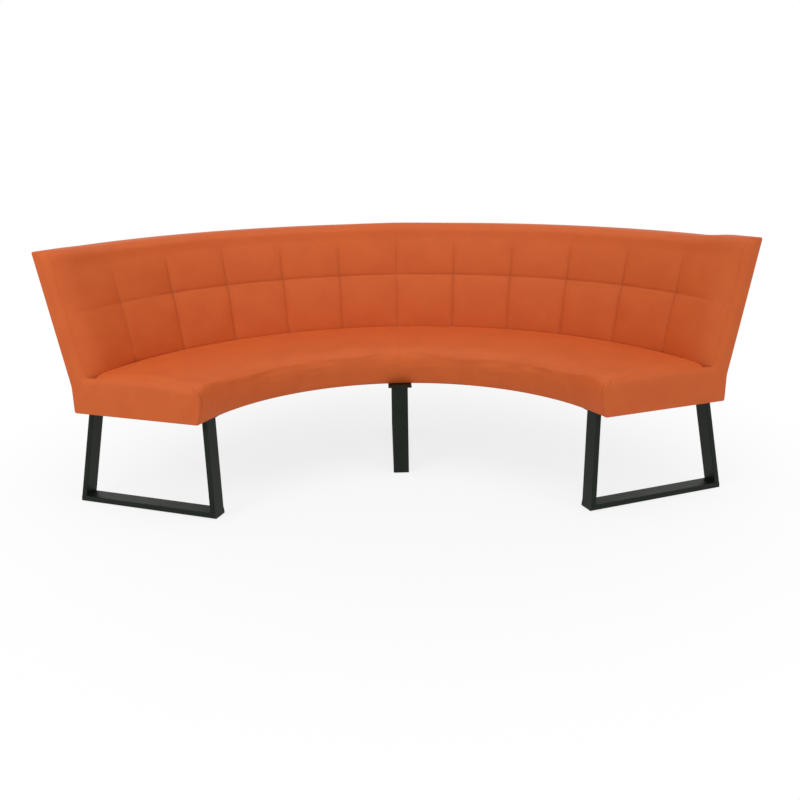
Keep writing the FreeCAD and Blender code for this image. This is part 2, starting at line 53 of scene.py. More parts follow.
# Sizes that several pieces share
bench = {
    "halfAngle": math.radians(70.0),
    "columns": 6,  # quilted cells in each half
    "frontRadius": 0.730,
    "rearRadius": 1.230,
    "topRadius": 1.330,
    "underside": 0.345,
    "seatTop": 0.488,
    "knee": 0.440,  # where the rear starts to lean
    "backTop": 0.905,
    "footOfBack": 1.150,  # radius of the stitched face at the seat
    "rake": math.tan(math.radians(13.3)),
    "endPlane": 0.0123,  # the covers stop this far from the bench's end, behind the end panels
    "edgePower": 2.2,  # how steep the covers roll off beside an end panel
    "endRollBack": 0.025,  # by how much the back's face lies back there
    "endDrop": 0.012,  # how much lower the seat lies there
    "endDraw": 0.005,  # how much further in the seat's front lies there
}
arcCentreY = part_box("back_quilt_left")[1].y - bench["topRadius"]
sides = {"left": -1, "right": 1}

# Camera, as found from the column seams, the seat's edges and the feet of the sleds
view = {
    "place": (-0.05644, -3.32193, 1.26424),
    "yaw": 0.0172657,
    "pitch": -0.2933047,
    "roll": -0.0140999,
    "focalPixels": 870.215,
    "imagePixels": 800.0,
    "sensor": 36.0,  # millimetres
}


# The camera looks along y, is turned about z, tilted up by the pitch and rolled about its own axis
def makeCamera():
    data = bpy.data.cameras.new("camera")
    data.sensor_width = view["sensor"]
    data.lens = view["focalPixels"] / view["imagePixels"] * view["sensor"]
    made = bpy.data.objects.new("camera", data)
    tilt = Matrix.Rotation(math.pi / 2 + view["pitch"], 4, "X") @ Matrix.Rotation(view["roll"], 4, "Z")
    made.matrix_world = Matrix.Translation(view["place"]) @ Matrix.Rotation(-view["yaw"], 4, "Z") @ tilt
    bpy.context.scene.collection.objects.link(made)
    bpy.context.scene.camera = made


makeCamera()


# Colours are written as sRGB hex and turned to linear light here
def linear(code):
    parts = [int(code[start:start + 2], 16) / 255 for start in (1, 3, 5)]
    return [part / 12.92 if part <= 0.04045 else ((part + 0.055) / 1.055) ** 2.4 for part in parts] + [1.0]


# Adds a node. Inputs are set by name or number. A socket given as a value is linked, and so is a
# node, by its first output.
def addNode(tree, kind, inputs=None, **settings):
    made = tree.nodes.new("ShaderNode" + kind)
    for name, value in settings.items():
        setattr(made, name, value)
    for name, value in (inputs or {}).items():
        if isinstance(value, bpy.types.Node):
            value = value.outputs[0]
        if isinstance(value, bpy.types.NodeSocket):
            tree.links.new(value, made.inputs[name])
        else:
            made.inputs[name].default_value = value
    return made


def startMaterial(name):
    material = bpy.data.materials.new(name)
    material.use_nodes = True
    tree = material.node_tree
    tree.nodes.clear()
    place = addNode(tree, "TexCoord").outputs["Object"]
    return material, tree, place


def endMaterial(material, tree, surface):
    shader = addNode(tree, "BsdfPrincipled", surface)
    addNode(tree, "OutputMaterial", {"Surface": shader})
    return material


# A colour that wanders between two hex colours as a pattern goes from low to high
def blendColours(tree, factor, lowCode, highCode, low=0.3, high=0.7):
    ramp = addNode(tree, "ValToRGB", {0: factor})
    ramp.color_ramp.elements[0].position = low
    ramp.color_ramp.elements[0].color = linear(lowCode)
    ramp.color_ramp.elements[1].position = high
    ramp.color_ramp.elements[1].color = linear(highCode)
    return ramp


# Polyurethane faux leather on a knitted backing, embossed: a matt coat with a fine pebble grain.
# The grain's cells are 1.6 mm, drawn a little coarser than the real 1 mm so that it shows close up.
# A point attribute, 1 in a sewn line, pulls the surface there into small puckers and darkens it with painted
# shade, the shade that falls in the stitched channel.
leather = {
    "colour": "#D0622B",
    "colourDeep": "#CC5E29",
    # colourSeamShade... below is the colour of the painted shade in the sewn lines
    "colourSeamShade": "#A44B1E",
    "rough": (0.56, 0.66),
    "mottle": 0.09,  # sizes in metres
    "grain": 0.0016,
    "grainDepth": 0.0002,
    "pucker": 0.011,
    "puckerDepth": 0.0012,
}


def makeFauxLeather():
    material, tree, place = startMaterial("orange faux leather")
    mottle = addNode(tree, "TexNoise", {"Vector": place, "Scale": 1 / leather["mottle"], "Detail": 3.0,
                                        "Roughness": 0.55})
    base = blendColours(tree, mottle, leather["colourDeep"], leather["colour"], 0.35, 0.6)
    seamShadeAndPucker = addNode(tree, "Attribute", attribute_name="seamShadeAndPucker")
    # painted shade: the seam mask mixes a darker colour into the sewn lines
    colour = addNode(tree, "Mix", {"Factor": seamShadeAndPucker.outputs["Fac"], 6: base, 7: linear(leather["colourSeamShade"])},
                     data_type="RGBA")
    cells = addNode(tree, "TexVoronoi", {"Vector": place, "Scale": 1 / leather["grain"], "Randomness": 0.9},
                    feature="SMOOTH_F1")
    fibre = addNode(tree, "TexNoise", {"Vector": place, "Scale": 2.6 / leather["grain"], "Detail": 2.0})
    grain = addNode(tree, "Math", {0: cells, 1: 0.6, 2: fibre},
                    operation="MULTIPLY_ADD")
    fine = addNode(tree, "Bump", {"Height": grain, "Strength": 0.35,
                                  "Distance": leather["grainDepth"]})
    folds = addNode(tree, "TexNoise", {"Vector": place, "Scale": 1 / leather["pucker"], "Detail": 1.0})
    pulled = addNode(tree, "Math", {0: folds, 1: seamShadeAndPucker.outputs["Fac"]}, operation="MULTIPLY")
    coarse = addNode(tree, "Bump", {"Height": pulled, "Strength": 0.7,
                                    "Distance": leather["puckerDepth"], "Normal": fine})
    rough = addNode(tree, "MapRange", {"Value": mottle, "To Min": leather["rough"][0],
                                       "To Max": leather["rough"][1]})
    return endMaterial(material, tree, {"Base Color": colour.outputs[2], "Roughness": rough,
                                        "Normal": coarse, "Specular IOR Level": 0.25})


# Birch plywood, sanded: pale veneer with fine long pores on the faces, 1.4 mm plies on the edges
plywood = {
    "veneer": ("#C9A577", "#DDC199"),
    "darkPly": "#B08A5B",
    "pairOfPlies": 0.0028,
    "poreStretch": (9.0, 160.0, 160.0),
}


def makeBirchPlywood():
    material, tree, place = startMaterial("birch plywood")
    split = addNode(tree, "SeparateXYZ", {0: place})
    stretch = addNode(tree, "Mapping", {"Vector": place, "Scale": plywood["poreStretch"]})
    pores = addNode(tree, "TexNoise", {"Vector": stretch, "Scale": 4.0, "Detail": 4.0})
    face = blendColours(tree, pores, *plywood["veneer"], 0.35, 0.65)
    layers = addNode(tree, "Math", {0: split.outputs["Z"], 1: 2 * math.pi / plywood["pairOfPlies"]},
                     operation="MULTIPLY")
    wave = addNode(tree, "Math", {0: layers}, operation="SINE")
    dark = addNode(tree, "MapRange", {"Value": wave, "From Min": -0.2, "From Max": 0.3,
                                      "To Min": 0.0, "To Max": 0.35})
    colour = addNode(tree, "Mix", {"Factor": dark, 6: face, 7: linear(plywood["darkPly"])},
                     data_type="RGBA")
    bump = addNode(tree, "Bump", {"Height": pores, "Strength": 0.3, "Distance": 0.0002})
    return endMaterial(material, tree, {"Base Color": colour.outputs[2], "Roughness": 0.6,
                                        "Normal": bump})


# A plain finish. Its first pattern gives the colour, and the roughness where that is a range, and its
# last one the relief. A pattern is a texture, the size of its grain in metres and its settings.
def makeFinish(name, colours, patterns, relief, rough, more=None):
    material, tree, place = startMaterial(name)
    made = [addNode(tree, kind, {"Vector": place, "Scale": 1 / size, **settings})
            for kind, size, settings in patterns]
    surface = {"Base Color": blendColours(tree, made[0], *colours), "Roughness": rough, **(more or {})}
    if relief:
        bump = addNode(tree, "Bump", {"Height": made[-1], "Strength": relief[0], "Distance": relief[1]})
        surface["Normal"] = bump
    if isinstance(rough, tuple):
        wander = addNode(tree, "MapRange", {"Value": made[0], "To Min": rough[0], "To Max": rough[1]})
        surface["Roughness"] = wander
    return endMaterial(material, tree, surface)


finishes = {
    "faux_leather": makeFauxLeather(),
    "plywood": makeBirchPlywood(),
    # polyester powder coat, baked on: dark green-black, satin, with a slight orange peel of 1.5 mm
    "frame_steel": makeFinish("powder coat", ("#121911", "#171F16"),
                              [("TexNoise", 0.05, {"Detail": 3.0}), ("TexNoise", 0.0015, {"Detail": 2.0})],
                              (0.25, 0.00012), (0.36, 0.50), {"Specular IOR Level": 0.16}),
    # electroplated zinc, clear passivated: a pale bluish metal, slightly cloudy
    "zinc_steel": makeFinish("zinc plate", ("#B9BCBE", "#CDCFCC"), [("TexNoise", 0.004, {"Detail": 3.0})],
                             None, (0.28, 0.42), {"Metallic": 1.0}),
    # polyether foam, cut: cream, open cells of 2 mm
    "foam": makeFinish("cut foam", ("#CDBF94", "#EAE0C0", 0.1, 0.6), [("TexVoronoi", 0.002, {})],
                       (0.8, 0.0008), 0.95),
    # rubber and polypropylene webbing, woven: black ribs of 2 mm across the strap
    "webbing": makeFinish("woven webbing", ("#3A3A38", "#151515", 0.1, 0.6),
                          [("TexVoronoi", 0.002, {"Randomness": 0.15})], (0.8, 0.0006), 0.8),
    # spun-bonded polypropylene, point-bonded: black felt-like sheet with a dimple every 1.8 mm
    "dust_cloth": makeFinish("spun-bonded cloth", ("#1B1B1C", "#2A2A2B"),
                             [("TexNoise", 0.0007, {"Detail": 3.0}),
                              ("TexVoronoi", 0.0018, {"Randomness": 0.0})], (0.6, 0.0003), 0.88),
    # moulded polyethylene: black, satin, with a spark-eroded texture of 0.8 mm
    "glides": makeFinish("moulded plastic", ("#161617", "#1E1E1F"), [("TexNoise", 0.0008, {"Detail": 2.0})],
                         (0.3, 0.0001), 0.5),
}
for row in frame["record"]["subparts"]:
    node = nodes[row["node"]]
    node.data.materials.clear()
    node.data.materials.append(finishes[row["material_slot"]])
print("materials made:", len(finishes))


# 0 below low, 1 above high and 3s^2 - 2s^3 between them, s being the share of the way
def smoothStep(value, low, high):
    share = np.clip((value - low) / (high - low), 0, 1)
    return share * share * (3 - 2 * share)


# A bell: 1 where the gap is 0, and falling to 0.37 where it is the width
def bell(gap, width):
    return np.exp(-(gap / width) ** 2)


# Spacing from 0 to 1 in equal steps, drawn towards both ends by a cosine so that edges are fine
def towardsEnds(steps, pull=0.75):
    even = np.linspace(0, 1, steps + 1)
    return (1 - pull) * even + pull * (1 - np.cos(np.pi * even)) / 2


# A cubic curve through all points, its slope at a point running from the one before to the one
# after. Points are (..., count, 2), and each span gives as many steps as asked, ends included once.
def curveThrough(points, steps):
    gaps = np.linalg.norm(np.diff(points, axis=-2), axis=-1, keepdims=True)
    inner = (points[..., 2:, :] - points[..., :-2, :]) / (gaps[..., 1:, :] + gaps[..., :-1, :])
    first = (points[..., 1:2, :] - points[..., :1, :]) / gaps[..., :1, :]
    last = (points[..., -1:, :] - points[..., -2:-1, :]) / gaps[..., -1:, :]
    slopes = np.concatenate([first, inner, last], axis=-2)
    parts = []
    for span, count in enumerate(steps):
        final = span == len(steps) - 1
        t = np.linspace(0, 1, count + 1)[:count + final, None]
        here, after = slice(span, span + 1), slice(span + 1, span + 2)
        lead = gaps[..., here, :] * ((t ** 3 - 2 * t ** 2 + t) * slopes[..., here, :]
                                     + (t ** 3 - t ** 2) * slopes[..., after, :])
        ease = 3 * t ** 2 - 2 * t ** 3
        parts.append((1 - ease) * points[..., here, :] + ease * points[..., after, :] + lead)
    return np.concatenate(parts, axis=-2)


# Angle of each point of a section. A section stands at a column: up to half a cell from the end it
# is radial, and from there its distance to the bench's end plane shrinks evenly to the covers' own.
def columnAngle(column, radius):
    turn = bench["halfAngle"]
    last = bench["columns"] - 0.5
    share = np.clip((column - last) / 0.5, 0, 1)
    start = radius * math.sin(turn * 0.5 / bench["columns"])
    distance = (1 - share) * start + share * bench["endPlane"]
    return np.where(column <= last, turn * column / bench["columns"], turn - np.arcsin(distance / radius))


# Distance of each point of a section to the end of the covers
def endGap(column, radius):
    return radius * np.sin(bench["halfAngle"] - columnAngle(column, radius)) - bench["endPlane"]


# How much of the roll-off beside an end panel a point has
def endShare(column, radius, width):
    return (1 - np.clip(endGap(column, radius) / width, 0, 1)) ** bench["edgePower"]


# The largest of several arrays at each point
def largest(first, *others):
    for other in others:
        first = np.maximum(first, other)
    return first


# Points of the world: radius times the angle's sine to the side, its cosine to the rear
def onArc(side, angle, radius, height):
    return np.stack([side * radius * np.sin(angle), radius * np.cos(angle) + arcCentreY,
                     height + 0 * radius], axis=-1)


# Radius of the back's leaning plane at a height
def backFace(height):
    return bench["footOfBack"] + bench["rake"] * (height - bench["seatTop"])


# Puts a mesh that was worked on into the scene as an object
def addObject(name, mesh, work, smooth=True):
    work.to_mesh(mesh)
    work.free()
    mesh.polygons.foreach_set("use_smooth", np.full(len(mesh.polygons), smooth))
    made = bpy.data.objects.new(name, mesh)
    bpy.context.scene.collection.objects.link(made)
    return made


# Makes an object from a grid of points (rows, round, 3): quads between neighbours, closed round the
# section, with flat ends filled. Normals are turned outwards.
def gridObject(name, points, seamShadeAndPucker=None, held=None):
    rows, count = points.shape[:2]
    here = np.arange(rows * count).reshape(rows, count)
    nextOne = np.roll(here, -1, axis=1)
    quads = np.stack([here[:-1], here[1:], nextOne[1:], nextOne[:-1]], axis=-1).reshape(-1, 4)
    mesh = bpy.data.meshes.new(name)
    mesh.from_pydata(points.reshape(-1, 3).tolist(), [], quads.tolist())
    for label, values in (("seamShadeAndPucker", seamShadeAndPucker), ("held", held)):
        if values is not None:
            layer = mesh.attributes.new(label, "FLOAT", "POINT")
            layer.data.foreach_set("value", values.reshape(-1).astype(np.float32))
    work = bmesh.new()
    work.from_mesh(mesh)
    bmesh.ops.remove_doubles(work, verts=work.verts, dist=0.00001)
    rim = [edge for edge in work.edges if edge.is_boundary]
    filled = bmesh.ops.holes_fill(work, edges=rim, sides=0)["faces"] if rim else []
    bmesh.ops.triangulate(work, faces=filled)
    bmesh.ops.recalc_face_normals(work, faces=work.faces)
    return addObject(name, mesh, work)


# One object from several grids
def joinedObject(name, grids, smooth=True):
    parts = [gridObject(name + str(number), points) for number, points in enumerate(grids)]
    work = bmesh.new()
    for part in parts:
        work.from_mesh(part.data)
    made = addObject(name, bpy.data.meshes.new(name), work, smooth)
    for part in parts:
        spare = part.data
        bpy.data.objects.remove(part)
        bpy.data.meshes.remove(spare)
    return made


# A cover from its sections. The seam mask, of puckers and painted shade, and held are given for a section's
# first points;
# those after them are hidden, without seam or painted shade, and held.
def coverObject(name, side, column, radius, height, seamShadeAndPucker, held):
    hidden = ((0, 0), (0, radius.shape[1] - seamShadeAndPucker.shape[1]))
    points = onArc(side, columnAngle(column, radius), radius, height)
    return gridObject(name, points, np.pad(seamShadeAndPucker, hidden), np.pad(held, hidden, constant_values=1))


# Gives a piece its finish, which is also its slot, hangs it under the root and hides the CAD nodes that it
# stands for
def finishPiece(piece, slot, *replaced):
    piece.data.materials.append(finishes[slot])
    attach(piece, "root")
    if replaced:
        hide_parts(*replaced)


def pointsOf(mesh):
    points = np.empty(3 * len(mesh.vertices))
    mesh.vertices.foreach_get("co", points)
    return points.reshape(-1, 3)


# Blows a closed cover up by cloth simulation. Points with "held" near 1 are sewn down or hidden and
# stay; the others may move by the cap at most, each move being drawn in as cap * tanh(move / cap).
def inflate(piece, pressure, cap, frames=20):
    mesh = piece.data
    before = pointsOf(mesh)
    held = np.empty(len(before), np.float32)
    mesh.attributes["held"].data.foreach_get("value", held)
    group = piece.vertex_groups.new(name="held")
    group.add(np.nonzero(held > 0.5)[0].tolist(), 1.0, "REPLACE")
    cloth = piece.modifiers.new("cloth", "CLOTH")
    cloth.settings.quality = 4
    cloth.settings.mass = 0.02
    cloth.settings.use_pressure = True
    cloth.settings.uniform_pressure_force = pressure
    cloth.settings.vertex_group_mass = "held"
    cloth.settings.effector_weights.gravity = 0
    cloth.collision_settings.use_collision = False
    cloth.point_cache.frame_start = 1
    cloth.point_cache.frame_end = frames
    scene = bpy.context.scene
    for number in range(1, frames + 1):
        scene.frame_set(number)
    blown = piece.evaluated_get(bpy.context.evaluated_depsgraph_get())
    move = pointsOf(blown.data) - before
    length = np.maximum(np.linalg.norm(move, axis=1, keepdims=True), 1e-9)
    drawn = cap * np.tanh(length / cap) / length * (1 - held[:, None])
    piece.modifiers.remove(cloth)
    piece.vertex_groups.remove(group)
    mesh.vertices.foreach_set("co", (before + move * drawn).reshape(-1))
    mesh.update()
    scene.frame_set(1)
    print(piece.name, "blown up: largest move %.4f m, kept %.4f m" % (length.max(), (length * drawn).max()))


# A cover of faux leather over wadding, blown up and then rounded by one level of subdivision
def finishCover(piece, size, replaced):
    inflate(piece, size["pressure"], size["blownMost"])
    modifier = piece.modifiers.new("subdivision", "SUBSURF")
    modifier.levels = 1
    modifier.render_levels = 1
    finishPiece(piece, "faux_leather", replaced)


# Quilted back. Each cell is a pillow that falls steeply to its seams; a seam line itself bows out
# between the crossings, where the thread pulls deepest.
quilt = {
    "foot": 0.446,  # hidden edge behind the seat
    "lowerSeam": 0.482,
    "footDrop": 0.016,  # how much deeper the crown starts at the ends
    "middleSeam": 0.700,
    "fade": 0.862,  # the upright seams run out here, under the plain roll
    "thickness": 0.026,
    "softEdge": 0.095,  # width of the roll-off beside an end panel
    "cellCrown": 0.013,
    "seamBow": 0.0075,
    "seamBowShare": 2.2,  # over 1 puts the bow's peak nearer to the crossing
    "fadeCrown": 0.008,
    "levelFaint": {-1: 0.6, 1: 0.0},  # how much the level seam weakens over the last two cells
    "levelReach": 0.06,  # height over which its valley is filled there
    "shallow": {-1: (5, 0.70), 1: (5, 0.25)},  # a seam that lies less deep, and by what share
    "shallowReach": 0.25,  # how far from it that tells, in columns
    "valley": 0.013,  # rounds the middle seam, in columns
    "pillowPower": 3.0,
    "pillowRound": 0.68,
    "grooveDepth": 0.0018,
    "grooveWidth": 0.0030,
    "seamReach": 0.005,  # how far the puckered strip with painted shade reaches from a seam
    "crossingReach": 0.045,
    # painted shade of an upright seam: between crossings, more at a crossing, more at the seat, where shade
    # falls
    "uprightShade": (0.22, 0.60, 0.5),
    "levelShade": (0.10, 0.55),  # the same for the level seam
    "sewnReach": 0.009,  # the strip along a seam that isn't blown up
    "pressure": 3.0,
    "blownMost": 0.003,
    "cellSteps": 26,
    "lowerSteps": 24,
    "upperSteps": 18,
}

# The roll over the top. Its crest stands up at the ends and in the middle: heights by column.
crest = {
    "column": (0.0, 0.5, 1.0, 2.0, 3.0, 3.5, 4.5, 5.0, 5.5, 6.0),
    -1: (0.9110, 0.9095, 0.9070, 0.9060, 0.9070, 0.9060, 0.9055, 0.9070, 0.9110, 0.9120),
    1: (0.9110, 0.9095, 0.9070, 0.9060, 0.9070, 0.9060, 0.9055, 0.9070, 0.9170, 0.9200),
    "setback": 0.040,  # from the stitched face to the crest
    "rear": 0.9056,  # height of the rear edge
    "lift": (0.9080, 0.9150),  # between these heights of the crest the rear edge comes to rise too
    "liftShare": 0.85,
    "tuck": 0.9036,  # the rear edge is turned down to here
    "inside": 0.9031,  # top of the hidden inner face
    "steps": (4, 4, 4, 4, 4, 4, 3),
}


# Height of a pillow's profile at a place from 0 to 1 across it: 0 at its edges, 1 over its middle
def pillow(place):
    return (1 - np.abs(2 * place - 1) ** quilt["pillowPower"]) ** quilt["pillowRound"]


# Crown of the stitched face over its leaning plane. Across a cell and up it the pillow profiles
# multiply; on a seam line the bow takes over; over the fade line the crown becomes the roll's.
# Shallow is a column and share, and levelFill says how far the level seam's valley is filled.
def quiltCrown(column, height, ends, shallow=(0, 0), levelFill=0):
    count, middle = bench["columns"], quilt["middleSeam"]
    within = np.where(column < count - 0.5, column - np.floor(column), 0.5)
    within = np.where(column < 0.5, np.sqrt(within ** 2 + quilt["valley"] ** 2), within)
    across = pillow(within)
    near = bell(column - shallow[0], quilt["shallowReach"])
    across = (across + shallow[1] * (1 - across) * near) * (1 - ends)
    bowAcross = np.sin(np.pi * within) * (1 - ends)
    start = quilt["lowerSeam"] - quilt["footDrop"] * smoothStep(column, count - 0.9, count - 0.2)
    lower = np.clip((height - start) / (middle - start), 0, 1)
    upper = np.clip((height - middle) / (quilt["fade"] - middle), 0, 1)
    isUpper = height > middle
    rise = np.where(isUpper, pillow(upper / 2), pillow(lower))
    rise = rise + levelFill * (1 - rise) * bell(height - middle, quilt["levelReach"])
    bowUp = np.where(isUpper, np.sin(np.pi * upper / 2), np.sin(np.pi * lower ** quilt["seamBowShare"]))
    crown = quilt["cellCrown"] * across * rise
    crown += quilt["seamBow"] * ((1 - across) * (1 - ends) * bowUp + 0.7 * (1 - rise) * bowAcross)
    fading = smoothStep(upper, 0.52, 0.96)
    return crown * (1 - fading) + quilt["fadeCrown"] * fading


# The plain roll over the top, from the stitched face to its rear edge: a curve through eight points,
# set out from the face's top and the crest. Both are arrays over rows.
def rollOver(faceTop, top):
    rear, fade = bench["topRadius"] + 0 * faceTop, quilt["fade"]
    crestAt = faceTop + crest["setback"]
    start, full = crest["lift"]
    lifted = crest["liftShare"] * np.clip((top - start) / (full - start), 0, 1) * (top - crest["rear"])
    rearTop = crest["rear"] + lifted
    outline = [(faceTop, fade + 0 * top), (faceTop + 0.0045, (2 * fade + top) / 3 + 0.006),
               (faceTop + 0.012, top - 0.0135), (faceTop + 0.024, top - 0.0040), (crestAt, top),
               ((crestAt + rear) / 2, (top + rearTop) / 2 + 0.0004), (rear - 0.004, rearTop),
               (rear - 0.0004, crest["tuck"] + lifted / 2)]
    return curveThrough(np.stack([np.stack(spot, -1) for spot in outline], axis=-2), crest["steps"])


# Places of the rows along one half, in columns. Rows close to both ends keep those ends crisp.
def halfRows(steps, pull):
    even = [cell + towardsEnds(steps, pull)[:-1] for cell in range(bench["columns"] - 1)]
    last = bench["columns"] - 1
    half = towardsEnds(steps, pull)[:steps // 2]
    edge = last + 0.5 + 0.5 * (1 - (1 - np.linspace(0, 1, 21)) ** 1.5)
    rows = np.concatenate(even + [last + half, edge[:-1], [last + 0.9985, last + 1.0]])
    return np.insert(rows, 1, [0.0003, 0.0025])[:, None]


# Evens a section out a little round the given point, so that face and roll join without a crease
def evenOut(radius, front, reach=5):
    for turns in range(3):
        before = radius[:, front - reach - 1:front + reach]
        after = radius[:, front - reach + 1:front + reach + 2]
        zone = slice(front - reach, front + reach + 1)
        radius[:, zone] = (before + 2 * radius[:, zone] + after) / 4


def quiltHalf(side, word):
    column = halfRows(quilt["cellSteps"], 0.75)
    last = bench["columns"] - 1
    foot, low, middle, fade = [quilt[name] for name in ("foot", "lowerSeam", "middleSeam", "fade")]
    height = np.concatenate([np.linspace(foot, low, 6)[:-1],
                             low + (middle - low) * towardsEnds(quilt["lowerSteps"]),
                             (middle + (fade - middle) * towardsEnds(quilt["upperSteps"], 0.4))[1:]])[None, :]
    plane = backFace(height) + 0 * column
    ends = endShare(column, plane, quilt["softEdge"])
    # distances to the nearest upright seam and to the level one, and how plain each seam is
    seamGap = np.abs(column - np.round(column)) * bench["halfAngle"] / bench["columns"] * plane
    rowGap = np.abs(height - middle) + 0 * column
    upright = np.where(column > last + 0.5, 0, 1) * (1 - smoothStep(height, fade - 0.085, fade - 0.020))
    weakens = quilt["levelFaint"][side]
    level = (1 - smoothStep(column, last - 0.4, last + 0.7)) * (
        1 - weakens * smoothStep(column, last - 1.0, last - 0.6))
    # painted shade: a seam is darkest at a crossing and where it runs in behind the seat
    between, crossing, atSeat = quilt["uprightShade"]
    shade = between + crossing * np.exp(-rowGap / quilt["crossingReach"])
    shade = shade + atSeat * np.exp(-np.abs(height - bench["seatTop"]) / 0.012)
    between, crossing = quilt["levelShade"]
    levelShade = between + crossing * np.exp(-seamGap / quilt["crossingReach"])
    # the seam mask: painted shade and puckers along the upright and level seams
    seamShadeAndPucker = np.maximum(np.exp(-seamGap / quilt["seamReach"]) * upright * shade,
                      np.exp(-rowGap / quilt["seamReach"]) * level * levelShade)
    seamShadeAndPucker = seamShadeAndPucker * (0.25 + 0.75 * smoothStep(column, 0.0, 0.3))
    width = quilt["grooveWidth"]
    groove = np.maximum(bell(seamGap, width) * upright, bell(rowGap, width) * level)
    # the shallow seam has less painted shade and a shallower groove too, but for its crossing and its foot
    shallow = quilt["shallow"][side]
    faint = shallow[1] * bell(column - shallow[0], quilt["shallowReach"]) * (1 - np.exp(-rowGap / 0.012))
    faint = faint * smoothStep(height, 0.492, 0.505)
    seamShadeAndPucker = seamShadeAndPucker * (1 - 0.8 * faint)
    groove = groove * (1 - 0.7 * faint)
    levelFill = np.maximum(0.9 * smoothStep(column, last + 0.35, last + 0.9),
                           weakens * smoothStep(column, last - 1.0, last - 0.4))
    face = plane - quiltCrown(column, height, ends, shallow, levelFill)
    face = face + quilt["grooveDepth"] * groove + bench["endRollBack"] * ends
    over = rollOver(face[:, -1], np.interp(column[:, 0], crest["column"], crest[side]))[:, 1:]
    innerHeight = np.linspace(crest["inside"], foot, 9)[None, :] + 0 * column
    radius = np.concatenate([face, over[..., 0], backFace(innerHeight) + quilt["thickness"]], axis=1)
    heights = np.concatenate([height + 0 * column, over[..., 1], innerHeight], axis=1)
    evenOut(radius, face.shape[1])
    # sewn down along the seams, at the ends and below the seat; the roll and the inside stay too
    width = quilt["sewnReach"]
    sewn = largest(bell(seamGap, width) * upright, bell(rowGap, width) * level, smoothStep(ends, 0.0, 0.15),
                   1 - smoothStep(height, bench["seatTop"] - 0.004, bench["seatTop"] + 0.020),
                   smoothStep(height, fade - 0.030, fade - 0.004))
    return coverObject("quilted_back_" + word, side, column, radius, heights, seamShadeAndPucker, sewn)


for word, side in sides.items():
    back = quiltHalf(side, word)
    finishCover(back, quilt, "back_quilt_" + word)
print("quilted back made")


# Seat cushion: upright front band, rounded nose, soft crown, and a rear edge that rolls down into
# the gap at the back. Two halves are sewn together in the middle.
seat = {
    "front": [(0.7305, 0.3475), (0.7215, 0.372), (0.7155, 0.398), (0.7128, 0.422), (0.7148, 0.444),
              (0.7205, 0.4615), (0.7310, 0.4750), (0.7480, 0.4835)],
    "endFront": [(0.7305, 0.3475), (0.7215, 0.372), (0.7160, 0.402), (0.7132, 0.430), (0.7138, 0.452),
                 (0.7180, 0.4690), (0.7285, 0.4795), (0.7460, 0.4855)],
    "top": [(0.775, 0.4885), (0.820, 0.4920), (0.885, 0.4947), (0.950, 0.4955), (1.025, 0.4948),
            (1.090, 0.4928), (1.124, 0.4895), (1.139, 0.4835), (1.1452, 0.4740)],
    "frontSteps": (3, 4, 4, 3, 3, 4, 4, 4),
    "topSteps": (4, 4, 4, 5, 4, 3, 3, 3),
    "skin": 0.018,
    "turnedIn": 0.003,  # how far the lower edge is turned in
    "softEdge": 0.050,
    "columnSteps": 20,
    "seamDepth": 0.0003,
    "seamWidth": 0.0030,
    # painted shade along the middle seam
    "seamShade": 0.04,
    "cornerSeamShade": {-1: 0.45, 1: 0.08},  # painted shade along the sewn line down the front corners, stronger on the left
    "cornerShows": (0.385, 0.415, 0.445, 0.466),  # that painted shade comes and goes between these heights
    "dropFrom": 0.372,  # below this height the front band keeps its height at the ends
    "pressure": 3.0,
    "blownMost": 0.003,
}


# The seat's section beside an end panel lies a little lower and further in. Ends is the share.
def drawnIn(radius, height, ends):
    lifted = smoothStep(height, seat["dropFrom"], bench["seatTop"] - 0.010)
    nose = 1 - smoothStep(radius, bench["frontRadius"], bench["frontRadius"] + 0.05)
    return radius + bench["endDraw"] * ends * nose, height - bench["endDrop"] * ends * lifted


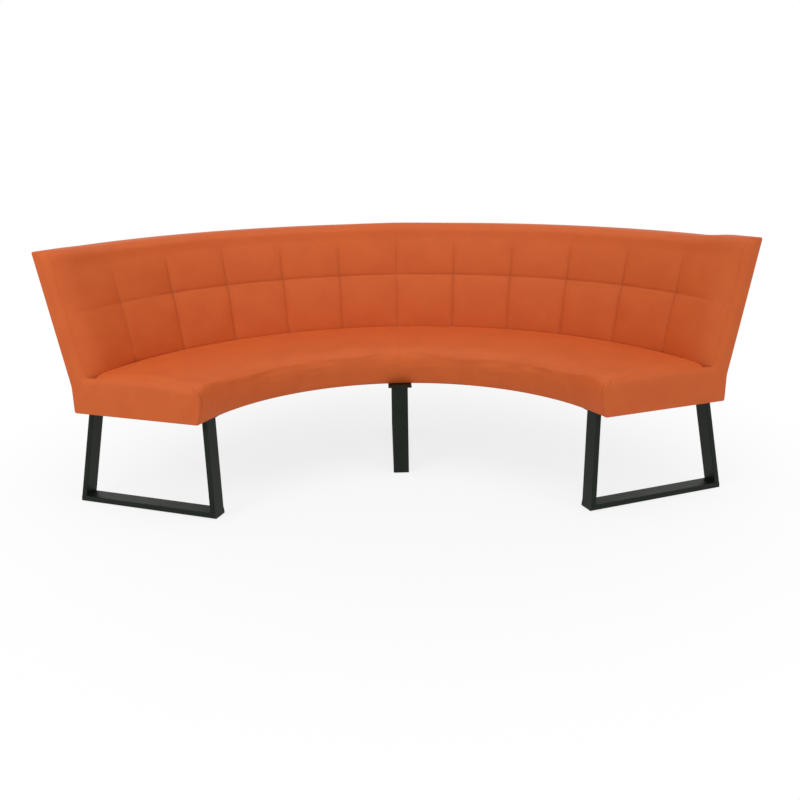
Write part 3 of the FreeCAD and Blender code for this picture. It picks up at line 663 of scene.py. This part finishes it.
def seatHalf(side, word):
    column = halfRows(seat["columnSteps"], 0.0)
    steps = seat["frontSteps"] + seat["topSteps"]
    section = curveThrough(np.array(seat["front"] + seat["top"]), steps)[None]
    crisp = curveThrough(np.array(seat["endFront"] + seat["top"]), steps)[None]
    # the nose is tighter at the ends
    share = smoothStep(column, bench["columns"] - 1.1, bench["columns"] - 0.1)
    radius = section[..., 0] + share * (crisp - section)[..., 0]
    height = section[..., 1] + share * (crisp - section)[..., 1]
    ends = endShare(column, radius, seat["softEdge"])
    radius, height = drawnIn(radius, height, ends)
    # the middle seam: down on the top, back on the front
    middleGap = column * bench["halfAngle"] / bench["columns"] * radius
    dip = bell(middleGap, seat["seamWidth"]) * seat["seamDepth"]
    onTop = smoothStep(section[..., 0], 0.716, 0.74)
    height = height - dip * onTop
    radius = radius + dip * (1 - onTop)
    # painted shade along the sewn line down a front corner
    comes, shown, goes, gone = seat["cornerShows"]
    corner = smoothStep(height, comes, shown) * (1 - smoothStep(height, goes, gone))
    corner = corner * (1 - smoothStep(section[..., 0], 0.74, 0.76))
    corner = corner * np.exp(-endGap(column, radius) / 0.004) * seat["cornerSeamShade"][side]
    # the seam mask: painted shade of the middle seam and of the front corner
    seamShadeAndPucker = np.maximum(np.exp(-middleGap / seat["seamWidth"]) * seat["seamShade"], corner)
    # held at the ends, the middle seam, the underside and the rear edge; free over top and nose
    held = largest(bell(middleGap, 0.02), smoothStep(ends, 0.0, 0.15),
                   1 - smoothStep(height, 0.350, 0.385), smoothStep(radius, 1.085, 1.130))
    front, skin, under = bench["frontRadius"], seat["skin"], bench["underside"]
    low = bench["seatTop"] - skin
    rear = seat["top"][-1][0]
    inside = np.array([(rear, low), (1.08, low), (0.97, low), (0.86, low), (front + skin, low),
                       (front + skin, 0.410), (front + skin, under), (front + 0.010, under),
                       (front + seat["turnedIn"], under + 0.0006)])[None]
    radius = np.concatenate([radius, inside[..., 0] + 0 * column], axis=1)
    height = np.concatenate([height, inside[..., 1] + 0 * column], axis=1)
    return coverObject("seat_cushion_" + word, side, column, radius, height, seamShadeAndPucker, held)


for word, side in sides.items():
    cushion = seatHalf(side, word)
    finishCover(cushion, seat, "seat_cover_" + word)
print("seat made")


# End panels: one L of cover over wadding. The face is a patch between four edges: along the seat
# and up the back, along the underside and up the rear, the nose, and the top. Beside the covers it
# rolls over softly to lie flush with them; its other edges are turned over the board more sharply.
panel = {
    "thickness": 0.012,
    "softWidth": 0.026,  # how wide the roll beside the covers is
    "edges": {"outer": (0.0035, 0.005), "nose": (0.0022, 0.004), "top": (0.0030, 0.006)},
    "dent": 0.0035,  # the hollow beside the front corner, where the wadding ends
    "dentPlace": (0.017, 0.418),
    "dentReach": (0.009, 0.030),
    "crown": 0.0015,
    "crownReach": 0.06,
    "alongSteps": 150,
    "acrossSteps": 44,
    "rollSteps": 13,  # steps of the back's roll up to near its crest
    "wallFoot": 0.0004,  # a row this far above the wall's foot keeps that edge crisp
    "pressure": 1.5,
    "blownMost": 0.001,
}


# Points of a line of points at shares of its length
def alongCurve(points, share):
    lengths = np.concatenate([[0], np.cumsum(np.linalg.norm(np.diff(points, axis=0), axis=1))])
    lengths = lengths / lengths[-1]
    return np.stack([np.interp(share, lengths, points[:, axis]) for axis in (0, 1)], axis=-1)


# Shortest distance from each point to a border, which is first cut up into short steps
def borderGap(points, border):
    fine = alongCurve(border, np.linspace(0, 1, 801))
    best = np.full(points.shape[:-1], np.inf)
    for part in np.array_split(fine, 40):
        reach = np.linalg.norm(points[..., None, :] - part, axis=-1).min(axis=-1)
        best = np.minimum(best, reach)
    return best


# Three borders of an end panel, as (radius, height) points: the nose; beside the covers, in two
# runs that meet in the corner; and over the top to the rear
def panelBorders(side):
    points = np.array(seat["endFront"] + seat["top"][:-2])  # the last two lie behind the back
    section = curveThrough(points, seat["frontSteps"] + seat["topSteps"][:-2])
    section = np.stack(drawnIn(section[:, 0], section[:, 1], np.ones(1)), -1)
    noseCount = sum(seat["frontSteps"][:-1]) + 1
    nose, top = section[:noseCount], section[noseCount - 1:]
    corner = np.array([[bench["footOfBack"] + bench["endRollBack"] - 0.004, top[-1, 1] - 0.003]])
    heights = np.linspace(bench["seatTop"] + 0.002, quilt["fade"], 40)
    stitched = backFace(heights) + bench["endRollBack"]
    stitched = stitched - quiltCrown(np.full_like(heights, bench["columns"]), heights, np.ones_like(heights))
    over = rollOver(stitched[-1:], np.array([crest[side][-1]]))[0]
    face = np.stack([stitched, heights], -1)
    upTo = panel["rollSteps"]
    beside = [np.concatenate([top, corner]), np.concatenate([corner, face, over[1:upTo + 1]])]
    return nose, beside, over[upTo:-2]


def endPanel(side, word):
    nose, beside, rear = panelBorders(side)
    foot = np.array([[bench["frontRadius"] + bench["endDraw"], bench["underside"]],
                     [bench["rearRadius"], bench["underside"]]])
    behind = np.array([foot[1], [bench["rearRadius"], bench["knee"]], rear[-1]])
    along = towardsEnds(panel["alongSteps"], 0.6)
    firstHalf, secondHalf = along[along <= 0.5] * 2, along[along > 0.5] * 2 - 1
    inside = np.concatenate([alongCurve(beside[0], firstHalf), alongCurve(beside[1], secondHalf)])
    outside = np.concatenate([alongCurve(foot, firstHalf), alongCurve(behind, secondHalf)])
    across = towardsEnds(panel["acrossSteps"], 0.92)
    noseEdge = alongCurve(np.concatenate([foot[:1], nose]), across)
    topEdge = alongCurve(rear[::-1], across)
    # Coons patch: the two ruled surfaces added, less the one through the four corners
    u, v = along[:, None, None], across[None, :, None]
    patch = (1 - v) * outside[:, None] + v * inside[:, None] + (1 - u) * noseEdge[None] + u * topEdge[None]
    patch -= ((1 - u) * (1 - v) * foot[0] + (1 - u) * v * nose[-1] + u * (1 - v) * rear[-1] + u * v * rear[0])
    gaps = {"outer": np.linalg.norm(patch - outside[:, None], axis=-1),
            "soft": borderGap(patch, inside),
            "nose": np.linalg.norm(patch - noseEdge[None], axis=-1),
            "top": np.linalg.norm(patch - topEdge[None], axis=-1)}
    # each edge takes a share of the thickness away: a square fall beside the covers, a quarter
    # ellipse elsewhere
    thick = panel["thickness"]
    left = 1 - (1 - np.clip(gaps["soft"] / panel["softWidth"], 0, 1)) ** 2
    for label, (rim, width) in panel["edges"].items():
        bend = 1 - np.sqrt(1 - (1 - np.clip(gaps[label] / width, 0, 1)) ** 2)
        left = left * (1 - rim / thick * bend)
    dent = bell(gaps["nose"] - panel["dentPlace"][0], panel["dentReach"][0])
    dent = dent * bell(patch[..., 1] - panel["dentPlace"][1], panel["dentReach"][1])
    reach = panel["crownReach"]
    wide = smoothStep(gaps["outer"], 0, reach) * smoothStep(gaps["soft"], 0, reach)
    depth = np.minimum(thick * (1 - left) + panel["dent"] * dent - panel["crown"] * wide, thick)
    free = smoothStep(np.minimum.reduce(list(gaps.values())), 0.012, 0.035)
    # an upright wall all round, with a row just above its foot, then the flat back face
    wall = np.pad(depth, 1, mode="edge")
    wall[[0, -1]] = np.maximum(wall[[0, -1]], thick - panel["wallFoot"])
    wall[:, [0, -1]] = np.maximum(wall[:, [0, -1]], thick - panel["wallFoot"])
    wall = np.pad(wall, 1, constant_values=thick)
    inset = np.concatenate([wall, np.full_like(wall, thick)], axis=1)
    patch = np.pad(patch, ((2, 2), (2, 2), (0, 0)), mode="edge")
    patch = np.concatenate([patch, patch[:, ::-1]], axis=1)
    free = np.pad(free, 2)
    angle = bench["halfAngle"] - np.arcsin(inset / patch[..., 0])
    return gridObject("end_pad_" + word, onArc(side, angle, patch[..., 0], patch[..., 1]),
                      held=1 - np.concatenate([free, 0 * free], axis=1))


for word, side in sides.items():
    pad = endPanel(side, word)
    finishCover(pad, panel, "end_panel_" + word)
print("end panels made")


# Rear cover: one width of faux leather, railroaded round the back, upright to the knee, leaning above
rearCover = {
    "top": 0.9026,
    "thickness": 0.002,
    "columnSteps": 120,
    "heightSteps": 40,
    "ripple": 0.0008,
    "knee": 0.012,  # the lean starts over twice this height
}


def rearPanel():
    share = np.linspace(-1, 1, 2 * rearCover["columnSteps"] + 1)[:, None]
    low, high = bench["underside"], rearCover["top"]
    height = low + (high - low) * towardsEnds(rearCover["heightSteps"], 0.3)[None, :]
    over, bend = height - bench["knee"], rearCover["knee"]
    eased = np.where(over > bend, over, np.where(over < -bend, 0, (over + bend) ** 2 / (4 * bend)))
    slope = (bench["topRadius"] - bench["rearRadius"]) / (bench["backTop"] - bench["knee"])
    outer = bench["rearRadius"] + slope * eased + 0 * share
    # slight waves: two sines of place and height multiplied, faded out at the foot
    wander = np.sin(share * 41.0 + height * 9.0) * np.sin(height * 21.0 + share * 3.0)
    outer = outer - rearCover["ripple"] * (0.5 + 0.5 * wander) * smoothStep(height, low, low + 0.05)
    radius = np.concatenate([outer, outer[:, ::-1] - rearCover["thickness"]], axis=1)
    heights = np.concatenate([height, height[:, ::-1]], axis=1) + 0 * share
    angle = share * (bench["halfAngle"] - np.arcsin(bench["endPlane"] / radius))
    return gridObject("rear_cover_skin", onArc(1, angle, radius, heights))


finishPiece(rearPanel(), "faux_leather", "rear_cover")
print("rear cover made")


# Foam inside seat and back: cut slabs with worn-round edges. A leaning slab's radii are measured
# from the back's leaning plane.
foam = {
    "seat_foam": {"leans": 0, "radii": (0.7492, 1.1298), "heights": (0.4073, 0.4697), "round": 0.008,
                  "flatSteps": (4, 16), "inset": 0.0315},
    "back_foam": {"leans": 1, "radii": (0.0272, 0.0422), "heights": (0.447, 0.902), "round": 0.005,
                  "flatSteps": (16, 2), "inset": 0.0132},
}
foamRows = np.insert(np.linspace(-1, 1, 61), [1, -1], [-0.9995, 0.9995])[:, None]


# A rounded rectangle as (place across, place up): arcs of seven points with the flats between cut up
def roundedOutline(wide, high, corner, flatSteps):
    right, top = wide - corner, high - corner
    centres = np.array([(right, corner), (right, top), (corner, top), (corner, corner)])[:, None]
    turn = np.linspace(-0.5 * np.pi, 0, 7) + np.arange(4)[:, None] * np.pi / 2
    arcs = centres + corner * np.stack([np.cos(turn), np.sin(turn)], -1)
    points = []
    for arc, after, count in zip(arcs, np.roll(arcs, -1, axis=0), flatSteps * 2):
        share = np.linspace(0, 1, count + 1)[1:-1, None]
        points += [arc, arc[-1] + share * (after[0] - arc[-1])]
    return np.concatenate(points)


# A slab's outline is swept from end to end of the arc by shares of the half angle
def foamSlab(name, size):
    (near, away), (low, high) = size["radii"], size["heights"]
    outline = roundedOutline(away - near, high - low, size["round"], size["flatSteps"])[None]
    height = low + outline[..., 1] + 0 * foamRows
    radius = size["leans"] * backFace(height) + near + outline[..., 0]
    angle = foamRows * (bench["halfAngle"] - np.arcsin(size["inset"] / radius))
    return gridObject(name + "_slab", onArc(1, angle, radius, height))


for name, size in foam.items():
    slab = foamSlab(name, size)
    finishPiece(slab, "foam", name)
print("foam made")


# Sled frames of flat tube with rolled corners. The formulas are the frame's own: legs splay along the
# radius, and an end sled also leans in as it rises, its foot standing flat.
sled = {
    "front": 0.698,  # radii of the feet's outer faces
    "rear": 1.257,
    "middleAdvance": 0.045,
    "splay": math.tan(math.radians(6.5)),
    "inward": {"front": 1, "rear": -1},  # which way a leg splays as it rises
    "wide": 0.060,
    "deep": 0.020,
    "wall": 0.002,
    "corner": 0.0025,
    "crispEdge": 0.0006,  # a row this close to an edge keeps the flat beside it flat
    "cap": 0.0065,  # depth of the end caps' seat
    "bead": 0.0042,
    "beadRipple": 0.0025,
    "footInset": 0.008,
    "topInset": 0.064,
    "barBottom": 0.004,
    "barTop": 0.024,
    "legTop": 0.340,
    "plateReach": 0.045,
    "boltFromLeg": 0.048,
    "boltSpread": 0.035,
    "glideFromEnd": 0.040,
    # profiles of (radius, height): washer, hexagon head with a turned chamfer and shank; and a glide
    "bolt": ((0.0058, -0.0053), (0.0064, -0.0053), (0.0075, -0.0048), (0.0075, -0.0014),
             (0.0085, -0.0014), (0.0085, 0.0), (0.004, 0.0), (0.004, 0.025)),
    "hexRows": (2, 3),
    "boltSides": 12,
    "glide": ((0.0092, 0.0), (0.0104, 0.0005), (0.0110, 0.0016), (0.0110, 0.0040)),
    "glideSides": 24,
}


# Points of a sled from radius, place across the tube and height. Place is -1, 0 or 1 along the arc.
def sledSpot(place, radius, across, height):
    if place == 0:
        return np.stack(np.broadcast_arrays(across - sled["wide"] / 2, radius + arcCentreY, height), -1)
    rise = (sled["topInset"] - sled["footInset"]) * height / bench["underside"]
    inset = sled["footInset"] + rise + across
    turn = place * bench["halfAngle"]
    x = radius * math.sin(turn) - place * inset * math.cos(turn)
    y = radius * math.cos(turn) + place * inset * math.sin(turn) + arcCentreY
    return np.stack(np.broadcast_arrays(x, y, height), -1)


# The same, with the points moved upright from the height at which they were worked out
def levelSpots(place, radius, across, start, height):
    spots = sledSpot(place, radius, across, start)
    spots[:, 2] = height
    return spots


# Radius of a leg's outer face. The middle sled stands further in.
def legFace(place, end, height):
    advance = 0 if place else sled["middleAdvance"]
    return sled[end] - advance + sled["inward"][end] * sled["splay"] * height


# The tube's outline: corner arcs, and a point a little way into each flat so that flats shade flat
def tubeOutline():
    arcs = roundedOutline(sled["wide"], sled["deep"], sled["corner"], (1, 1)).reshape(4, 7, 2)
    parts = [arcs]
    for own, other, place in ((arcs[:, 0], np.roll(arcs[:, -1], 1, axis=0), 0),
                              (arcs[:, -1], np.roll(arcs[:, 0], -1, axis=0), 2)):
        way = other - own
        spot = own + sled["crispEdge"] * way / np.linalg.norm(way, axis=1)[:, None]
        parts.insert(place, spot[:, None])
    return np.concatenate(parts, axis=1).reshape(-1, 2)


def sledLeg(place, end, word):
    outline = tubeOutline()
    low, high, edge = sled["barTop"], sled["legTop"], sled["crispEdge"]
    height = np.array([low, low + edge, high - edge, high])[:, None]
    radius = legFace(place, end, height) + sled["inward"][end] * outline[None, :, 1]
    leg = gridObject(word + "_" + end + "_leg_tube", sledSpot(place, radius, outline[None, :, 0], height))
    finishPiece(leg, "frame_steel", word + "_" + end + "_leg")


# The floor bar is open at both ends, where its caps sit: out along the outside, back along the bore
def sledBar(place, word):
    outer, wall, edge, cap = tubeOutline(), sled["wall"], sled["crispEdge"], sled["cap"]
    bore = np.clip(outer, (wall, wall), (sled["wide"] - wall, sled["deep"] - wall))
    points = []
    for outline, end, back in ((outer, "front", 0), (outer, "front", edge), (outer, "rear", edge),
                               (outer, "rear", 0), (bore, "rear", 0), (bore, "rear", cap),
                               (bore, "front", cap), (bore, "front", 0), (outer, "front", 0)):
        height = sled["barBottom"] + outline[:, 1]
        radius = legFace(place, end, height) + sled["inward"][end] * back
        points.append(levelSpots(place, radius, outline[:, 0], sled["barTop"], height))
    bar = gridObject(word + "_floor_tube", np.array(points))
    finishPiece(bar, "frame_steel", word + "_floor_bar")


# A weld bead: a quarter round along the tube's width, rippled by a cosine, full at its root
def weldBead(place, end, height, upward):
    steps = 49
    across = np.linspace(0.004, sled["wide"] - 0.004, steps)[:, None]
    taper = np.sqrt(np.clip(1 - (np.abs(np.linspace(-1, 1, steps)) ** 8), 0.02, 1))[:, None]
    reach = sled["bead"] * taper * (1 + 0.10 * np.cos(across * 2 * np.pi / sled["beadRipple"]))
    turn = np.linspace(0, np.pi / 2, 5)[None, :]
    bulge = reach * (0.80 + 0.12 * np.sin(2 * turn))
    root = np.full((steps, 1), -0.0003)
    out = np.concatenate([root, bulge * np.cos(turn)], axis=1)
    level = height + upward * np.concatenate([root, bulge * np.sin(turn)], axis=1)
    radius = legFace(place, end, level) + sled["inward"][end] * (sled["deep"] + out)
    return sledSpot(place, radius, across, level)


# A turned shape: rows of (radius, height) round an upright axis. In the rows named as hex a point's
# radius is that of a hexagon with its corners at the radius given.
def turned(centre, profile, steps, hexRows=()):
    angle = np.linspace(0, 2 * np.pi, steps, endpoint=False)
    rows = []
    for number, (radius, height) in enumerate(profile):
        if number in hexRows:
            radius = radius * math.cos(math.pi / 6) / np.cos((angle % (np.pi / 3)) - np.pi / 6)
        rows.append(np.stack([centre[0] + radius * np.cos(angle), centre[1] + radius * np.sin(angle),
                              centre[2] + height + 0 * angle], -1))
    return np.array(rows)


def boltPlaces(place, end):
    reach = sled["boltFromLeg"] + (sled["plateReach"] if (place == 0 and end == "front") else 0)
    radius = legFace(place, end, sled["legTop"]) + sled["inward"][end] * reach
    across = sled["wide"] / 2 + sled["boltSpread"] * np.array([-1, 1])
    return levelSpots(place, radius, across, bench["underside"], sled["legTop"])


def glidePlaces(place):
    radius = np.array([legFace(place, end, 0) + inward * sled["glideFromEnd"]
                       for end, inward in sled["inward"].items()])
    return levelSpots(place, radius, sled["wide"] / 2, sled["barTop"], 0)


beads, bolts, glides = [], [], []
for place, word in ((-1, "left"), (0, "middle"), (1, "right")):
    sledBar(place, word)
    for end in sled["inward"]:
        sledLeg(place, end, word)
        beads += [weldBead(place, end, sled["barTop"], 1), weldBead(place, end, sled["legTop"], -1)]
        bolts += [turned(spot, sled["bolt"], sled["boltSides"], sled["hexRows"])
                  for spot in boltPlaces(place, end)]
    glides += [turned(spot, sled["glide"], sled["glideSides"]) for spot in glidePlaces(place)]
finishPiece(joinedObject("weld_beads", beads), "frame_steel")
finishPiece(joinedObject("hex_bolts", bolts, smooth=False), "zinc_steel", "leg_bolts")
finishPiece(joinedObject("round_glides", glides, smooth=False), "glides", "floor_glides")
print("sleds made")


# Dust cloth: two stretched sheets under the seat, stapled to the rails, which sag a little between
dust = {
    "radii": (0.7535, 1.2192),
    "middle": 0.0695,  # half the strip left free for the middle board
    "ends": 0.1635,  # distance to the end plane
    "top": 0.3449,
    "thickness": 0.0007,
    "sag": 0.0026,
    "railWide": 0.0135,  # how far it lies against the rails before it hangs free
    "steps": (70, 28),
    "stapleGap": 0.055,
    "stapleIn": 0.007,
    "staple": (0.0100, 0.0011, 0.0006),  # width, thickness of the wire, how far it stands out
}


# Points of the cloth by share along the arc and across it. It hangs in a parabola between the rails.
def dustSpots(side, along, across):
    inner, outer = dust["radii"]
    radius = inner + (outer - inner) * across
    first = np.arcsin(dust["middle"] / radius)
    last = bench["halfAngle"] - np.arcsin(dust["ends"] / radius)
    hung = np.clip((radius - inner - dust["railWide"]) / (outer - inner - 2 * dust["railWide"]), 0, 1)
    sag = dust["sag"] * 4 * hung * (1 - hung) * (0.4 + 0.6 * 4 * along * (1 - along))
    # pulled taut at the staples, a shade looser between them
    reach = (last - first) * radius
    loose = 0.5 - 0.5 * np.cos(2 * np.pi * along * np.round(reach / dust["stapleGap"]))
    sag = sag * (0.88 + 0.12 * loose)
    return onArc(side, first + (last - first) * along, radius, dust["top"] - sag)


# Area of a grid of points, two triangles to a cell: half the length of their sides' cross product
def gridArea(points):
    near, far = points[:-1, :-1], points[1:, 1:] - points[:-1, :-1]
    first = np.cross(points[1:, :-1] - near, far)
    second = np.cross(far, points[:-1, 1:] - near)
    return (np.linalg.norm(first, axis=-1).sum() + np.linalg.norm(second, axis=-1).sum()) / 2


def dustSheet(side, word):
    along = np.linspace(0, 1, dust["steps"][0] + 1)[:, None]
    across = np.linspace(0, 1, dust["steps"][1] + 1)[None, :]
    upper = dustSpots(side, along, across)
    lower = upper[:, ::-1] - np.array([0, 0, dust["thickness"]])
    sheet = gridObject("dust_cloth_" + word, np.concatenate([upper, lower], axis=1))
    flat = upper * np.array([1, 1, 0])
    # the smallest rectangle it is cut from, turned to the middle of its arc
    turn = side * bench["halfAngle"] / 2
    wide = flat[..., 0] * math.cos(turn) - flat[..., 1] * math.sin(turn)
    deep = flat[..., 0] * math.sin(turn) + flat[..., 1] * math.cos(turn)
    size = (float(deep.max() - deep.min()), float(wide.max() - wide.min()))
    return sheet, size, float(gridArea(flat))


# A staple's crown, its ends bent up into the cloth: five sections of six points each, carried along
def stapleRows(centre, along, under):
    wide, thick, deep = dust["staple"]
    across = np.array([-along[1], along[0], 0])
    profile = np.array([(-0.5, 0.0), (-0.5, -0.6), (-0.3, -1.0), (0.3, -1.0), (0.5, -0.6), (0.5, 0.0)])
    rows = []
    for share, lift in ((-0.5, 0.9), (-0.46, 0.25), (0.0, 0.0), (0.46, 0.25), (0.5, 0.9)):
        spot = centre + along * share * wide
        section = spot + across * profile[:, :1] * thick
        section[:, 2:] = under + deep * (lift * 0.6 + profile[:, 1:] * (1 - 0.4 * lift))
        rows.append(section)
    return np.array(rows)


# Two rows of staples, each at an even spacing and turned along the arc
def staplesFor(side):
    margin = dust["stapleIn"] / (dust["radii"][1] - dust["radii"][0])
    made = []
    for across in (margin, 1 - margin):
        ends = dustSpots(side, np.array([0.0, 1.0]), across)
        count = int(round(np.linalg.norm(ends[1] - ends[0]) / dust["stapleGap"]))
        shares = (np.arange(count) + 0.5) / count
        for spot, other in zip(dustSpots(side, shares, across), dustSpots(side, shares + 0.01, across)):
            along = (other - spot) * np.array([1, 1, 0])
            made.append(stapleRows(spot, along / np.linalg.norm(along), dust["top"] - dust["thickness"]))
    return made


for word, side in sides.items():
    cloth, size, area = dustSheet(side, word)
    finishPiece(cloth, "dust_cloth", "dust_cloth")
    staples = joinedObject("dust_cloth_staples_" + word, staplesFor(side), smooth=False)
    finishPiece(staples, "zinc_steel")
    print("dust cloth", word, "cut %.3f x %.3f m, area %.3f m2" % (*size, area))

# what isn't replaced is shown as it comes from the CAD
for name, node in nodes.items():
    if not node.hide_render:
        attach(node, "root")


# Stage: a pale floor that fades to white, soft lamps, and a white surround
stage = {
    "floor": "#F4F4F4",
    "floorReach": 14.0,
    "floorGlow": 0.80,  # share of plain white under the bench, so that its shadow stays faint
    "floorFade": (0.7, 2.0),  # distances between which the floor turns to plain white
    "world": 0.40,
    "lamps": [
        # place, aim, width, power in watts
        ((-3.2, -4.2, 4.0), (0.0, 0.2, 0.5), 3.0, 68.0),
        ((3.4, -3.6, 2.6), (0.0, 0.2, 0.5), 3.0, 50.0),
        ((0.0, -0.4, 4.4), (0.0, 0.0, 0.4), 3.0, 53.0),
        ((-1.9, -1.7, 1.4), (-0.95, -0.45, 0.4), 0.8, 5.5),
    ],
}


# 1 for rays from the camera, in reflections or through clear things, which see plain white
def seesBackdrop(tree):
    path = addNode(tree, "LightPath")
    first = addNode(tree, "Math", {0: path.outputs["Is Camera Ray"], 1: path.outputs["Is Glossy Ray"]},
                    operation="ADD")
    return addNode(tree, "Math", {0: first, 1: path.outputs["Is Transmission Ray"]},
                   operation="ADD", use_clamp=True)


def makeStage():
    mesh = bpy.data.meshes.new("floor")
    reach = stage["floorReach"]
    mesh.from_pydata([(-reach, -reach, 0), (reach, -reach, 0), (reach, reach, 0), (-reach, reach, 0)], [],
                     [(0, 1, 2, 3)])
    floor = bpy.data.objects.new("floor", mesh)
    bpy.context.scene.collection.objects.link(floor)
    material, tree, place = startMaterial("pale floor")
    away = addNode(tree, "VectorMath", {0: place}, operation="LENGTH")
    start, full = stage["floorFade"]
    far = addNode(tree, "MapRange", {"Value": away.outputs["Value"], "From Min": start, "From Max": full,
                                     "To Min": stage["floorGlow"]}, interpolation_type="SMOOTHSTEP")
    shown = addNode(tree, "Math", {0: far, 1: seesBackdrop(tree)}, operation="MULTIPLY")
    matt = addNode(tree, "BsdfDiffuse", {"Color": linear(stage["floor"])})
    white = addNode(tree, "Emission", {"Color": (1, 1, 1, 1), "Strength": 1.0})
    mixed = addNode(tree, "MixShader", {0: shown, 1: matt, 2: white})
    # from underneath the floor is see-through, so that the bottom of the bench can be looked at
    below = addNode(tree, "NewGeometry").outputs["Backfacing"]
    clear = addNode(tree, "BsdfTransparent")
    either = addNode(tree, "MixShader", {0: below, 1: mixed, 2: clear})
    addNode(tree, "OutputMaterial", {"Surface": either})
    mesh.materials.append(material)
    world = bpy.data.worlds.new("surround")
    world.use_nodes = True
    tree = world.node_tree
    tree.nodes.clear()
    dim = addNode(tree, "Background", {"Color": (1, 1, 1, 1), "Strength": stage["world"]})
    bright = addNode(tree, "Background", {"Color": (1, 1, 1, 1), "Strength": 1.0})
    both = addNode(tree, "MixShader", {0: seesBackdrop(tree), 1: dim, 2: bright})
    addNode(tree, "OutputWorld", {"Surface": both})
    bpy.context.scene.world = world
    for number, (place, aim, width, power) in enumerate(stage["lamps"], 1):
        data = bpy.data.lights.new("lamp" + str(number), "AREA")
        data.shape = "SQUARE"
        data.size = width
        data.energy = power
        lamp = bpy.data.objects.new("lamp" + str(number), data)
        lamp.location = place
        lamp.rotation_euler = (Vector(aim) - Vector(place)).to_track_quat("-Z", "Y").to_euler()
        lamp.visible_camera = False
        bpy.context.scene.collection.objects.link(lamp)


makeStage()
bpy.context.scene.view_settings.view_transform = "Standard"
print("stage made")
